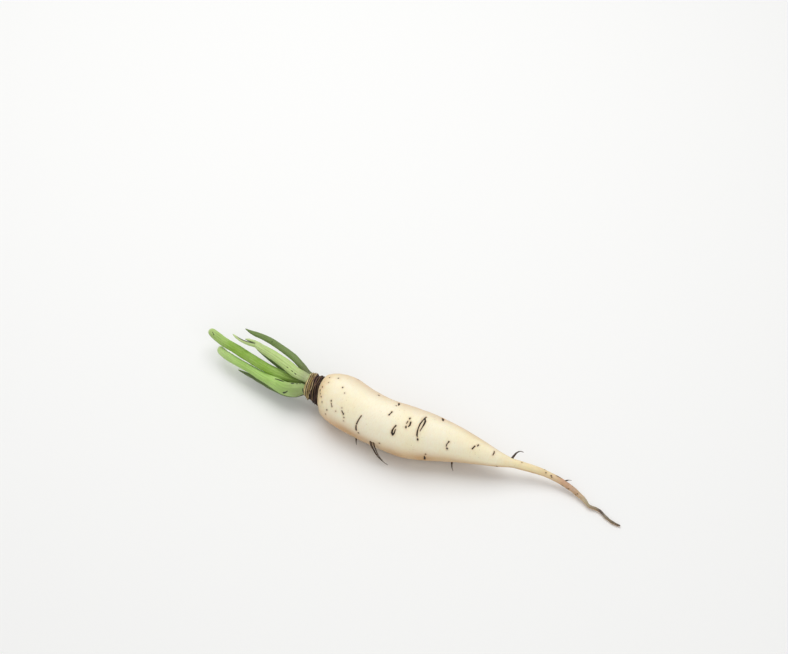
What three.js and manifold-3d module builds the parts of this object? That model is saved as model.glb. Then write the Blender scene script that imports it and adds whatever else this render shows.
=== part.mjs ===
// A white radish lying on its side: a long root that runs out into a thin tail, a short crown
// ringed by old leaf scars, and six leaf stalks that were cut or torn short.
// Millimetres, +Z up. The origin is the middle of the flat spot that the root rests on, under its
// weight, and +X runs towards the tail.

import * as THREE from 'three';
import { mergeVertices } from 'three/addons/utils/BufferGeometryUtils.js';
import Module from 'manifold-3d';

const wasm = await Module();
wasm.setup();

// Driving dimensions

const bodyRadius = 20.7; // the root at its thickest
const bodyLength = 157; // from the crown to where the tail begins
const tailLength = 113;
const crownRadius = 11.2; // where the crown meets the root
const crownLength = 12;
const crownRings = 7; // old leaf scars round the crown
const ringDepth = 0.9;
const fit = 0.3; // clearance between pieces that touch
const rootSides = 32;
const stalkSides = 14;
const sideRootSides = 6;

// The middle line of root and tail, from the crown to the tip

const rootLine = curveThrough([
  [-63, 6.8, 20.8],
  [-59, 7.25, 20.6],
  [-43, 6.9, 20.3],
  [-22, 3.7, 20.1],
  [-2, 1.9, 20.1],
  [18, 3.4, 20.1],
  [36, 7.4, 20.0],
  [55, 10.6, 19.4],
  [74, 13.2, 18.0],
  [92, 16.2, 15.7],
  [110, 21.3, 12.6],
  [128, 25.4, 9.2],
  [147, 25.3, 6.0],
  [165, 20.4, 3.4],
  [170, 17.5, 2.7],
  [178.2, 17.9, 2.2],
  [187.4, 14.1, 1.7],
  [193.3, 12.6, 1.5],
  [199.4, 12.5, 1.4],
]);
const rootLength = rootLine.getLength();

// Radius of the root, as a share of its thickest, at each distance from the crown

const shoulder = [
  [0, crownRadius],
  [1.4, 0.665 * bodyRadius],
  [4.4, 0.79 * bodyRadius],
  [9, 0.895 * bodyRadius],
  [15, 0.965 * bodyRadius],
];
const body = [
  [0.14, 1.0],
  [0.26, 0.995],
  [0.4, 0.985],
  [0.52, 0.995],
  [0.58, 0.955],
  [0.64, 0.885],
  [0.7, 0.8],
  [0.76, 0.71],
  [0.82, 0.61],
  [0.88, 0.505],
  [0.94, 0.4],
  [1.0, 0.29],
].map(([share, thick]) => [share * bodyLength, thick * bodyRadius]);
const tail = [
  [0.087, 0.185],
  [0.174, 0.165],
  [0.26, 0.15],
  [0.347, 0.127],
  [0.511, 0.112],
  [0.675, 0.078],
  [0.762, 0.055],
  [0.97, 0.049],
].map(([share, thick]) => [bodyLength + share * tailLength, thick * bodyRadius]);
const tipRadius = 0.9;

const thickness = new THREE.CatmullRomCurve3(
  [...shoulder, ...body, ...tail].map(([distance, radius]) => new THREE.Vector3(distance, radius, 0)),
  false,
  'catmullrom',
  0.5,
);

// Helpers

function curveThrough(points) {
  return new THREE.CatmullRomCurve3(points.map((p) => new THREE.Vector3(...p)));
}

function smoothStep(from, to, value) {
  return THREE.MathUtils.smoothstep(value, from, to);
}

// A repeatable draw between two limits
let seed = 7;
function draw(low, high) {
  seed = (seed * 48271) % 2147483647;
  return low + ((high - low) * seed) / 2147483647;
}

// Directions across a curve at a share of its length: out leans towards the given angle, which is
// measured from +Y towards +Z, and across is square to it
function frameAt(curve, share, angle) {
  const centre = curve.getPointAt(share);
  const along = curve.getTangentAt(share);
  const out = new THREE.Vector3(0, Math.cos(angle), Math.sin(angle));
  out.addScaledVector(along, -out.dot(along)).normalize();
  const across = new THREE.Vector3().crossVectors(along, out);
  return { centre, along, out, across };
}

// A closed solid from any geometry, with its shared vertices joined
function solidOf(geometry) {
  const bare = geometry.index ? geometry.clone() : mergeVertices(geometry);
  bare.deleteAttribute('normal');
  bare.deleteAttribute('uv');
  const joined = mergeVertices(bare);
  const corners = joined.index.array;
  const kept = [];
  for (let i = 0; i < corners.length; i += 3) {
    const [a, b, c] = corners.slice(i, i + 3);
    if (a !== b && b !== c && c !== a) kept.push(a, b, c);
  }
  const vertProperties = Float32Array.from(joined.attributes.position.array);
  const triVerts = Uint32Array.from(kept);
  return new wasm.Manifold(new wasm.Mesh({ numProp: 3, vertProperties, triVerts }));
}

function meshOf(name, solid, look) {
  const { vertProperties, triVerts } = solid.getMesh();
  const geometry = new THREE.BufferGeometry();
  geometry.setAttribute('position', new THREE.BufferAttribute(vertProperties, 3));
  geometry.setIndex(new THREE.BufferAttribute(triVerts, 1));
  geometry.computeVertexNormals();
  const mesh = new THREE.Mesh(geometry, new THREE.MeshStandardMaterial({ metalness: 0, ...look }));
  mesh.name = name;
  return mesh;
}

function moveVertices(geometry, place) {
  const position = geometry.attributes.position;
  for (let i = 0; i < position.count; i += 1) {
    const moved = place(position.getX(i), position.getY(i), position.getZ(i));
    position.setXYZ(i, moved.x, moved.y, moved.z);
  }
  return geometry;
}

// A rod of changing section along a curve. section gives [across, out] for a share of the length
// and an angle round the rod, and facing gives the way its outer side looks
function rodAlong(curve, { sides, rings, facing, section }) {
  const rod = new THREE.CylinderGeometry(1, 1, 1, sides, rings);
  return moveVertices(rod, (x, y, z) => {
    const share = y + 0.5;
    const rim = Math.hypot(x, z);
    const { centre, out, across } = frameAt(curve, share, facing(share));
    const [a, b] = section(share, Math.atan2(z, x));
    return centre.addScaledVector(across, a * rim).addScaledVector(out, b * rim);
  });
}

// Root

function radiusAt(distance) {
  const points = thickness.points;
  const last = points[points.length - 1];
  if (distance >= last.x) {
    const rest = THREE.MathUtils.clamp((distance - last.x) / (rootLength - last.x), 0, 1);
    return tipRadius * Math.sqrt(1 - rest * rest);
  }
  const after = points.findIndex((p) => p.x > distance);
  const from = points[after - 1];
  const t = (distance - from.x) / (points[after].x - from.x);
  return thickness.getPoint((after - 1 + t) / (points.length - 1)).y;
}

// Soft lumps, largest where the root is thick and none at the crown
function lump(distance, angle) {
  const fade = smoothStep(4, 30, distance);
  const rolls = 0.3 * Math.sin(distance / 11 + 2 * Math.sin(angle));
  const twist = 0.22 * Math.sin(2 * angle + distance / 17);
  return (fade * (rolls + twist) * radiusAt(distance)) / bodyRadius;
}

// A point of the root at a distance from the crown, an angle round it and a height over its skin
function onRoot(distance, angle, height) {
  const share = THREE.MathUtils.clamp(distance / rootLength, 0, 1);
  const { centre, out } = frameAt(rootLine, share, angle);
  const reach = radiusAt(distance) + lump(distance, angle) + height;
  return centre.addScaledVector(out, reach);
}

function rootBody() {
  const stops = [0, 0.7, 1.8, 3.6, 6, 9, 13, 18];
  const spacing = 4.6;
  const first = 22;
  const last = rootLength - 1;
  const steps = Math.round((last - first) / spacing);
  for (let i = 0; i <= steps; i += 1) stops.push(THREE.MathUtils.lerp(first, last, i / steps));
  stops.push(rootLength - 0.4, rootLength);
  const profile = stops.map((distance) => new THREE.Vector2(radiusAt(distance), distance));
  profile[profile.length - 1].x = 0;
  const lathe = new THREE.LatheGeometry([new THREE.Vector2(0, 0), ...profile], rootSides);
  return moveVertices(lathe, (x, distance, z) => {
    const rim = Math.hypot(x, z);
    const share = Math.min(distance / rootLength, 1);
    const angle = Math.atan2(x, z);
    const { centre, out } = frameAt(rootLine, share, angle);
    return centre.addScaledVector(out, rim && rim + lump(distance, angle));
  });
}

// A fine side root: a tapering rod through points that start inside the root
function sideRoot(points, radius) {
  const taper = (share) => radius * (1.5 - 0.55 * share - 0.5 * smoothStep(0, 0.25, share));
  return solidOf(
    rodAlong(curveThrough(points), {
      sides: sideRootSides,
      rings: Math.max(4, points.length * 2),
      facing: () => Math.PI / 2,
      section: (share, angle) => [taper(share) * Math.cos(angle), taper(share) * Math.sin(angle)],
    }),
  );
}

// The side roots on the near side, where each one leaves the root and how it droops
const nearSideRoots = [
  {
    radius: 0.75,
    points: [
      [-7, -14, 20.5],
      [-5.4, -18.9, 18],
      [-3.2, -20.4, 13],
      [-1.4, -20.9, 8.5],
      [1.6, -20.9, 4.8],
      [5.8, -20.7, 2.5],
      [11.5, -20.6, 1.5],
    ],
  },
  {
    radius: 0.6,
    points: [
      [-21, -8.6, 9],
      [-20.6, -11.6, 6],
      [-19.6, -13.8, 3.4],
      [-18.6, -15, 2],
    ],
  },
  {
    radius: 0.6,
    points: [
      [58, 3.5, 12],
      [58.8, 0.2, 9],
      [60.2, -2.2, 6.2],
      [62, -3.6, 4.4],
    ],
  },
  {
    radius: 0.9,
    points: [
      [100, 17.6, 14.2],
      [101.2, 22, 17],
      [102.8, 26.6, 19.2],
      [105, 28.4, 19.9],
      [107.5, 28.8, 19.6],
    ],
  },
  {
    radius: 0.6,
    points: [
      [143, 25.4, 6.2],
      [145, 27.2, 7.9],
      [147.6, 28.6, 8.8],
      [149.6, 29.2, 8.8],
    ],
  },
];

// The row on the far side: shorter ones, spread along the root by a repeatable draw
const farSideRoots = { count: 8, from: 12, to: 228, low: -80, high: -40 };

function farSideRoot(index) {
  const { count, from, to, low, high } = farSideRoots;
  const distance = from + ((to - from) * (index + draw(0.1, 0.9))) / count;
  const angle = THREE.MathUtils.degToRad(draw(low, high));
  const length = draw(4, 8);
  const lean = draw(0.1, 0.7);
  const points = [-1.6, 0.3 * length, 0.7 * length, length].map((reach) => {
    const point = onRoot(distance, angle, Math.min(reach, 0.7 * reach + 1));
    const fall = 0.05 * Math.max(reach, 0) ** 2;
    point.x += lean * Math.max(reach, 0);
    point.z = Math.max(point.z - fall, 1.2);
    return point.toArray();
  });
  return sideRoot(points, 0.55);
}

// Scars across the skin: where the middle of each lies, its length round the root, its width, its
// depth, and how far its ends lean along the root
const scars = [
  { distance: 47.9, angle: 149, length: 13.5, width: 1.4, depth: 0.7, lean: 0.2 },
  { distance: 74.7, angle: 130, length: 7, width: 2.2, depth: 0.8, lean: 0 },
  { distance: 83.6, angle: 106, length: 8.6, width: 2.4, depth: 0.8, lean: 0.2 },
  { distance: 92.6, angle: 109, length: 22, width: 2.6, depth: 1.1, lean: 1.2 },
  { distance: 116.4, angle: 135, length: 6.6, width: 1.6, depth: 0.8, lean: 0 },
  { distance: 52, angle: 20, length: 15, width: 2, depth: 0.9, lean: -0.6 },
  { distance: 99, angle: -8, length: 12, width: 2, depth: 0.9, lean: 0.5 },
  { distance: 71, angle: -38, length: 10, width: 1.8, depth: 0.8, lean: 0.3 },
];

// What a scar takes away: a bead bent round the root, sunk into its skin
function scarCut({ distance, angle, length, width, depth, lean }) {
  const bead = new THREE.SphereGeometry(1, 8, 8);
  const middle = THREE.MathUtils.degToRad(angle);
  const reach = radiusAt(distance);
  moveVertices(bead, (across, round, rise) => {
    const turn = (-round * length) / 2 / reach;
    return onRoot(distance + (across * width) / 2 + lean * round, middle + turn, rise * depth);
  });
  return solidOf(bead);
}

function rootSolid() {
  let solid = solidOf(rootBody());
  for (const scar of scars) solid = solid.subtract(scarCut(scar));
  for (const { points, radius } of nearSideRoots) solid = solid.add(sideRoot(points, radius));
  for (let i = 0; i < farSideRoots.count; i += 1) solid = solid.add(farSideRoot(i));
  const room = 1000;
  const aboveFloor = new THREE.BoxGeometry(room, room, room).translate(0, 0, room / 2);
  return solid.intersect(solidOf(aboveFloor));
}

// Crown

const rootEnd = frameAt(rootLine, 0, Math.PI / 2);
const crownFoot = rootEnd.centre.clone().addScaledVector(rootEnd.along, -fit);
const crownTop = crownFoot.clone().add(new THREE.Vector3(-crownLength, 1.3, 0.3));

// Radius of the crown at a share of its length: a ring for each old leaf, each with a dip beside it
function crownRadiusAt(share) {
  const ring = Math.abs(Math.sin(Math.PI * crownRings * share));
  const waist = 1 + 0.02 * Math.cos(2 * Math.PI * share);
  return crownRadius * waist - ringDepth * (1 - ring ** 0.7);
}

function crownSolid() {
  const stepsPerRing = 4;
  const steps = crownRings * stepsPerRing;
  const rim = [];
  for (let i = 0; i <= steps; i += 1) rim.push(new THREE.Vector2(crownRadiusAt(i / steps), i / steps));
  const profile = [new THREE.Vector2(0, 0), ...rim, new THREE.Vector2(0, 1)];
  const lathe = new THREE.LatheGeometry(profile, rootSides);
  const line = new THREE.Vector3().subVectors(crownTop, crownFoot);
  const { out: up } = rootEnd;
  const side = new THREE.Vector3().crossVectors(rootEnd.along, up);
  moveVertices(lathe, (x, share, z) => {
    const angle = Math.atan2(z, x);
    const bulge = 0.025 * Math.sin(2 * angle + 9 * share) + 0.015 * Math.sin(5 * angle - 14 * share);
    const wobble = 1 + bulge;
    const point = crownFoot.clone().addScaledVector(line, share);
    return point.addScaledVector(side, -x * wobble).addScaledVector(up, z * wobble);
  });
  return solidOf(lathe);
}

// Stalks

// Every stalk starts on the crown's top and is cut off square to it there
function beyondCrown() {
  const room = 400;
  const box = new THREE.BoxGeometry(room, room, room).translate(0, 0, room / 2 + fit);
  const away = rootEnd.along.clone().negate();
  box.applyQuaternion(new THREE.Quaternion().setFromUnitVectors(new THREE.Vector3(0, 0, 1), away));
  box.translate(...crownTop.toArray());
  return solidOf(box);
}
const stalkSpace = beyondCrown();

// Width or thickness between hand-set values at even steps along the stalk
function between(values, share) {
  const place = share * (values.length - 1);
  const step = Math.min(Math.floor(place), values.length - 2);
  const ease = smoothStep(0, 1, place - step);
  return THREE.MathUtils.lerp(values[step], values[step + 1], 0.5 * ease + 0.5 * (place - step));
}

// A leaf stalk: rounded outside, with a channel along its inner side. Its base is wrapped round the
// middle of the crown by wrap, which is 0 for the stalk in the middle.
function stalkRod({ points, facing, width, outer, inner, channel, wrap, rings }) {
  const curve = curveThrough(points);
  const degrees = (share) => between(facing, share);
  return rodAlong(curve, {
    sides: stalkSides,
    rings,
    facing: (share) => THREE.MathUtils.degToRad(degrees(share)),
    section: (share, angle) => {
      const sine = Math.sin(angle);
      const cosine = Math.cos(angle);
      const hollow = 1 - channel * Math.exp(-((cosine / 0.5) ** 2));
      const across = (between(width, share) / 2) * cosine;
      const out = sine > 0 ? between(outer, share) * sine : between(inner, share) * sine * hollow;
      const bend = wrap * (1 - smoothStep(0.02, 0.22, share));
      if (bend < 1e-6) return [across, out];
      const turn = across * bend;
      const reach = 1 / bend + out;
      return [reach * Math.sin(turn), reach * Math.cos(turn) - 1 / bend];
    },
  });
}

// Each stalk's middle line, from inside the crown outwards, the way its outer side faces in degrees
// from +Y towards +Z, and its width and its thickness outside and inside that line at even steps
const baseWrap = 1 / 7; // the outer bases stand round the middle of the crown at this radius
const stalks = [
  {
    name: 'stalk_front',
    colour: 0x9cc76a,
    points: [
      [-72, 1.3, 20.1],
      [-77, 1.0, 19.9],
      [-82, -2, 19.2],
      [-91, -3.6, 18.1],
      [-101, -1.7, 17.4],
      [-114, 0.4, 16.9],
      [-129, 3, 16.4],
      [-142, 4.9, 15.7],
      [-154, 6.7, 15],
      [-161.5, 9.1, 14.5],
    ],
    facing: [188, 172, 158, 150, 145, 142, 140, 140],
    width: [7.8, 11, 10.1, 8, 6.9, 6.6, 6.8, 4.2],
    outer: [3.4, 4, 3.9, 3.4, 3.1, 2.9, 2.8, 1.6],
    inner: [2.8, 3, 2.8, 2.6, 2.3, 2.2, 2.1, 1.2],
    channel: 0.35,
    wrap: baseWrap,
    rings: 20,
  },
  {
    name: 'stalk_long',
    colour: 0x7fae45,
    points: [
      [-72, 8.2, 21.1],
      [-77, 8, 21.1],
      [-85, 6.7, 21.5],
      [-92.6, 5.7, 22],
      [-103.5, 5.3, 22.5],
      [-115, 6.1, 22.5],
      [-129, 8, 22.5],
      [-144, 10.7, 22],
      [-156, 12.4, 21.5],
      [-166, 15.4, 21],
      [-175, 19.2, 20.5],
    ],
    facing: [120, 120, 118, 116, 115],
    width: [6.2, 6.8, 7.5, 7.8, 7.9, 7.8, 7.6, 6.9, 3.6],
    outer: [3, 3.3, 3.4, 3.4, 3.2, 3.1, 3, 2.6, 1.4],
    inner: [2.9, 2.9, 2.8, 2.6, 2.4, 2.3, 2.1, 1.9, 1.1],
    channel: 0.4,
    wrap: 0,
    rings: 20,
  },
  {
    name: 'stalk_forked',
    colour: 0xb9d78b,
    points: [
      [-72, 7.3, 28],
      [-78, 7.3, 28.2],
      [-86, 7.1, 29.6],
      [-95.6, 9.9, 31.2],
      [-107.4, 12.7, 32],
      [-120, 15, 32],
      [-131, 16.7, 31.5],
    ],
    facing: [98, 104, 110, 112, 112],
    width: [6, 7.6, 8.2, 7.9, 7.2, 5.6],
    outer: [3, 3, 2.8, 2.6, 2.4, 2],
    inner: [2.6, 2.4, 2.3, 2.1, 2, 1.6],
    channel: 0.45,
    wrap: baseWrap,
    rings: 14,
    prongs: [
      {
        radius: 1.7,
        points: [
          [-121, 13.4, 31.8],
          [-129.5, 14.4, 31.5],
          [-138.6, 14.7, 31],
          [-150.6, 17.4, 30.5],
        ],
      },
      {
        radius: 1.6,
        points: [
          [-126, 16, 31.8],
          [-133.8, 16.4, 32],
          [-139, 15.8, 32],
        ],
      },
    ],
  },
  {
    name: 'stalk_pointed',
    colour: 0x7d9a4c,
    points: [
      [-72, 12.9, 26.3],
      [-77, 13, 26.9],
      [-86, 16, 30.2],
      [-96, 19.4, 32.4],
      [-107, 21.8, 33.5],
      [-117, 23.6, 34],
      [-127, 24.6, 34],
      [-136.5, 24.8, 33.5],
      [-144, 26.1, 33],
    ],
    facing: [48, 62, 72, 80, 84, 88],
    width: [5, 6.4, 6.5, 6.1, 5.6, 4.8, 1],
    outer: [2.6, 2.7, 2.6, 2.3, 2.1, 1.7, 0.5],
    inner: [2.4, 2.3, 2.1, 1.9, 1.7, 1.4, 0.4],
    channel: 0.35,
    wrap: baseWrap,
    rings: 16,
  },
  {
    name: 'stalk_under',
    colour: 0x5e7a35,
    points: [
      [-72, 5.8, 14.6],
      [-77, 5.2, 13.9],
      [-83.2, 2, 11.6],
      [-91.5, -0.1, 9.8],
      [-101.5, 0.6, 8.7],
      [-114, 2.4, 8],
      [-126, 4.2, 7.5],
      [-139, 4.7, 7],
    ],
    facing: [250, 240, 225, 215, 210],
    width: [5.6, 6.6, 7, 6.9, 6.2, 4.8, 1.4],
    outer: [2.6, 2.7, 2.6, 2.4, 2.2, 1.8, 0.6],
    inner: [2.4, 2.3, 2.2, 2, 1.8, 1.5, 0.5],
    channel: 0.35,
    wrap: baseWrap,
    rings: 15,
  },
  {
    name: 'stalk_behind',
    colour: 0x5b7636,
    points: [
      [-72, 13.4, 16.4],
      [-78, 13.5, 15.9],
      [-88, 13.7, 15.3],
      [-98.5, 15.7, 15.5],
      [-111.5, 18.8, 16],
      [-122, 21, 16.5],
      [-132, 22.9, 17],
    ],
    facing: [318, 310, 300, 292, 290],
    width: [6.2, 6.9, 7, 6.6, 5.6, 1.4],
    outer: [2.6, 2.6, 2.4, 2.2, 1.9, 0.6],
    inner: [2.4, 2.2, 2.1, 1.9, 1.6, 0.5],
    channel: 0.35,
    wrap: baseWrap,
    rings: 14,
  },
];

function stalkSolid(stalk) {
  let solid = solidOf(stalkRod(stalk));
  for (const { points, radius } of stalk.prongs ?? []) solid = solid.add(sideRoot(points, radius));
  return solid.intersect(stalkSpace);
}

// The radish

const radish = new THREE.Group();
radish.add(meshOf('root', rootSolid(), { color: 0xf3e6c6, roughness: 0.55 }));
radish.add(meshOf('crown_collar', crownSolid(), { color: 0x5a4028, roughness: 0.85 }));
for (const stalk of stalks) {
  radish.add(meshOf(stalk.name, stalkSolid(stalk), { color: stalk.colour, roughness: 0.5 }));
}

export default radish;
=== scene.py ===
"""A white radish lying on its side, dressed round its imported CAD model.

A long root with a kinked tail, fine side roots, a crown ringed by the fibres of old leaf bases
and six cut leaf stalks, each a mesh with its own procedural finish, on a plain pale floor.
Shapes are worked out in millimetres and written to the meshes in metres.
"""

import math
import random

import bmesh
import bpy
import numpy as np
from bpy.props import FloatProperty, FloatVectorProperty, IntProperty, PointerProperty
from mathutils import Matrix, Vector, noise


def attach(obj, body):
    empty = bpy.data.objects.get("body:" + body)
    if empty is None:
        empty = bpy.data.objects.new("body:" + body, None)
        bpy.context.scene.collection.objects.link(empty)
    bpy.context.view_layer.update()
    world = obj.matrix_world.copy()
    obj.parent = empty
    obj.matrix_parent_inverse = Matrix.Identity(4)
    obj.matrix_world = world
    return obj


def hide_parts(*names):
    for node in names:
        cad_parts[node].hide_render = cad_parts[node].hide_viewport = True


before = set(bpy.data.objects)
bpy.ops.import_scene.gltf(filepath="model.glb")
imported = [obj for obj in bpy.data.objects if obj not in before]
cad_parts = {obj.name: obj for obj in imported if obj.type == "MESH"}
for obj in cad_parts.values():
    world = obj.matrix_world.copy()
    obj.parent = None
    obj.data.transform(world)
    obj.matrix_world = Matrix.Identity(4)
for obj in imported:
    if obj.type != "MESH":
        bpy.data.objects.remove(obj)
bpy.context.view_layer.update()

bl_info = {
    "name": "White radish",
    "version": (1, 0, 0),
    "blender": (4, 5, 0),
    "location": "3D View > Sidebar > Radish",
    "description": "Builds a white radish with its side roots, ringed crown and cut leaf stalks",
    "category": "Add Mesh",
}

MM = 0.001

# The middle line of root and tail, from the crown to the tip
ROOT_LINE = [
    (-63, 6.8, 20.8), (-59, 7.25, 20.6), (-43, 6.9, 20.3), (-22, 3.7, 20.1), (-2, 1.9, 20.1),
    (18, 3.4, 20.1), (36, 7.4, 20.0), (55, 10.6, 19.4), (74, 13.2, 18.0), (92, 16.2, 15.7),
    (110, 21.3, 12.6), (128, 25.4, 9.2), (147, 25.3, 6.0), (165, 20.4, 3.4), (170, 17.5, 2.7),
    (178.2, 17.9, 2.2), (187.4, 14.1, 1.7), (193.3, 12.6, 1.5), (199.4, 12.5, 1.4),
]

# How far along it the colours of the skin are spread, from the crown to near the tip
ROOT_REACH = 268

# Distance from the crown and radius there as a share of the thickest
SHOULDER = [(1.4, 0.665), (4.4, 0.79), (9, 0.895), (15, 0.965)]
# Share of the body's length and share of its thickest radius
BODY = [
    (0.14, 1.0), (0.26, 0.995), (0.4, 0.985), (0.52, 0.995), (0.58, 0.955), (0.64, 0.885),
    (0.7, 0.8), (0.76, 0.71), (0.82, 0.61), (0.88, 0.505), (0.94, 0.4), (1.0, 0.29),
]
# Share of the tail's length and share of the body's thickest radius
TAIL = [
    (0.087, 0.185), (0.174, 0.165), (0.26, 0.15), (0.347, 0.127), (0.511, 0.112), (0.675, 0.078),
    (0.762, 0.055), (0.97, 0.049),
]

# Dark marks in the skin: each is a run of (distance from the crown, degrees round, half width)
SKIN_MARKS = [
    [(94.9, 76, 0.3), (94.0, 84, 0.42), (92.9, 92, 0.3), (92.0, 101, 0.32), (91.5, 112, 0.3)],
    [(91.5, 112, 0.25), (91.3, 121, 0.4), (91.5, 129, 0.42), (92.0, 133, 0.22)],
    [(92.4, 136, 0.35), (92.9, 141, 0.55)],
    [(94.4, 82, 0.35), (95.3, 90, 0.5), (95.0, 99, 0.45), (94.2, 108, 0.3), (93.2, 118, 0.2)],
    [(48.5, 130, 0.3), (47.9, 137, 0.28), (47.5, 145, 0.34), (47.2, 152, 0.42)],
    [(47.2, 156, 0.36), (47.4, 162, 0.45), (47.9, 168, 0.5)],
    [(75.3, 120, 0.42), (74.3, 126, 0.26), (73.8, 132, 0.42), (74.0, 138, 0.5)],
    [(74.0, 138, 0.45), (74.9, 141, 0.5), (75.7, 136, 0.4), (75.8, 128, 0.24)],
    [(83.5, 93, 0.5), (83.2, 97, 0.32)],
    [(82.7, 102, 0.22), (82.3, 109, 0.2)],
    [(82.5, 114, 0.3), (82.8, 119, 0.46)],
    [(84.9, 103, 0.42), (84.9, 110, 0.42), (84.2, 114, 0.28)],
    [(68.2, 93, 0.44), (67.8, 98, 0.2), (67.3, 102, 0.42)],
    [(117.0, 124, 0.42), (116.5, 129, 0.16), (116.0, 134, 0.26), (116.1, 139, 0.22)],
    [(116.7, 143, 0.42), (117.3, 147, 0.55)],
    [(32.3, 143, 0.28), (33.4, 145.5, 0.3), (34.4, 147, 0.4), (34.4, 149, 0.24)],
    [(18.6, 134, 0.46), (18.9, 137, 0.3)],
    [(19.8, 140, 0.24), (20.9, 143, 0.2), (22.0, 146, 0.36)],
    [(135.5, 120, 0.38), (136.0, 113, 0.3), (136.6, 106, 0.34)],
    [(138.3, 102, 0.3), (138.8, 92, 0.36)],
    [(151.6, 84, 0.26), (151.8, 97, 0.3), (151.5, 112, 0.22)],
    [(68.6, 56, 0.55), (69.3, 61, 0.6), (69.6, 66, 0.3)],
    [(106.2, 50, 0.6), (106.7, 56, 0.7), (107.2, 64, 0.3)],
    [(100.2, -176, 0.3), (100.6, -168, 0.65), (100.3, -160, 0.6)],
    [(156.6, -166, 0.4), (156.9, -156, 0.6), (156.6, -146, 0.5)],
    [(8.8, 148, 0.3), (9.6, 150, 0.34)],
    [(203.8, 58, 0.4), (205.6, 52, 0.6), (207.6, 50, 0.34)],
    [(210.4, -168, 0.3), (212.6, -172, 0.42)],
    [(215.2, -170, 0.34), (217.8, -174, 0.24)],
]

# How much wider the marks are made than the fine lines that they follow
MARK_SPREAD = 1.3

# Small dark pores: (distance from the crown, degrees round, radius)
SKIN_PORES = [
    (21.7, 96, 0.42), (26.2, 105, 0.24), (48.7, 58, 0.56), (68.4, 71, 0.34), (66.4, 175, 0.36),
    (101.2, 176, 0.42), (50.1, 173, 0.42), (6.1, 79, 0.3), (8.2, 97, 0.26), (13.3, 76, 0.4),
    (4.4, 113, 0.36), (1.9, 124, 0.5), (2.4, 129, 0.34), (4.1, 133, 0.46), (6.3, 139, 0.42),
    (17.4, 160, 0.42), (27.3, 151, 0.22), (31.2, 137, 0.2), (36.4, 162, 0.2), (35.8, 154, 0.34),
    (16.8, 173, 0.34), (195.2, 109, 0.3), (200.0, 118, 0.42),
]

# Lens-shaped scars: middle of each, its length round the root, its width and its depth
SCARS = [
    (92.9, 100, 14, 2.6, 0.55), (83.7, 106, 7.5, 2.0, 0.35), (74.8, 132, 6, 1.8, 0.4),
    (52, 20, 15, 2.0, 0.7), (99, -8, 12, 2.0, 0.7), (71, -38, 10, 1.8, 0.6),
]

# Side roots on the near side: the points each one follows out of the skin, and its radius
SIDE_ROOTS = [
    (0.78, [(-6, -14, 20.5), (-3.4, -18.9, 18), (0.4, -20.6, 13), (3.6, -21, 8.6),
            (6.8, -20.9, 5.2), (9.8, -20.7, 3), (12.9, -20.6, 1.6)]),
    (0.58, [(-3.4, -14.5, 20.6), (-1.2, -18.4, 18.8), (1.8, -20.3, 14.4), (4.2, -21.1, 10.6),
            (6.6, -21.3, 7.6), (8.6, -21.1, 5.6)]),
    (0.8, [(-21, -8.6, 9), (-20.6, -11.6, 6), (-19.6, -13.8, 3.4), (-18.6, -15, 2)]),
    (0.8, [(58, 3.5, 12), (58.8, 0.2, 9), (60.2, -2.2, 6.2), (62, -3.6, 4.4)]),
    (1.05, [(100, 17.6, 14.2), (101.2, 22, 17), (102.8, 26.6, 19.2), (105, 28.4, 19.9),
           (107.5, 28.8, 19.6)]),
    (0.65, [(143, 25.4, 6.2), (145, 27.2, 7.9), (147.6, 28.6, 8.8), (149.6, 29.2, 8.8)]),
]

# The row of shorter side roots on the far side, spread by a repeatable draw: how many, their
# radius, from where to where along the root and between which degrees round it
FAR_ROOTS = {"count": 8, "radius": 0.5, "start": 12, "end": 228, "low": -80, "high": -40}
# The draw's seed, multiplier and modulus
FAR_DRAW = (7, 48271, 2147483647)

# How many marks and pores there are on the far side, and pores on the tail
HIDDEN_MARKS, HIDDEN_PORES, TAIL_PORES = 17, 34, 12

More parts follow.
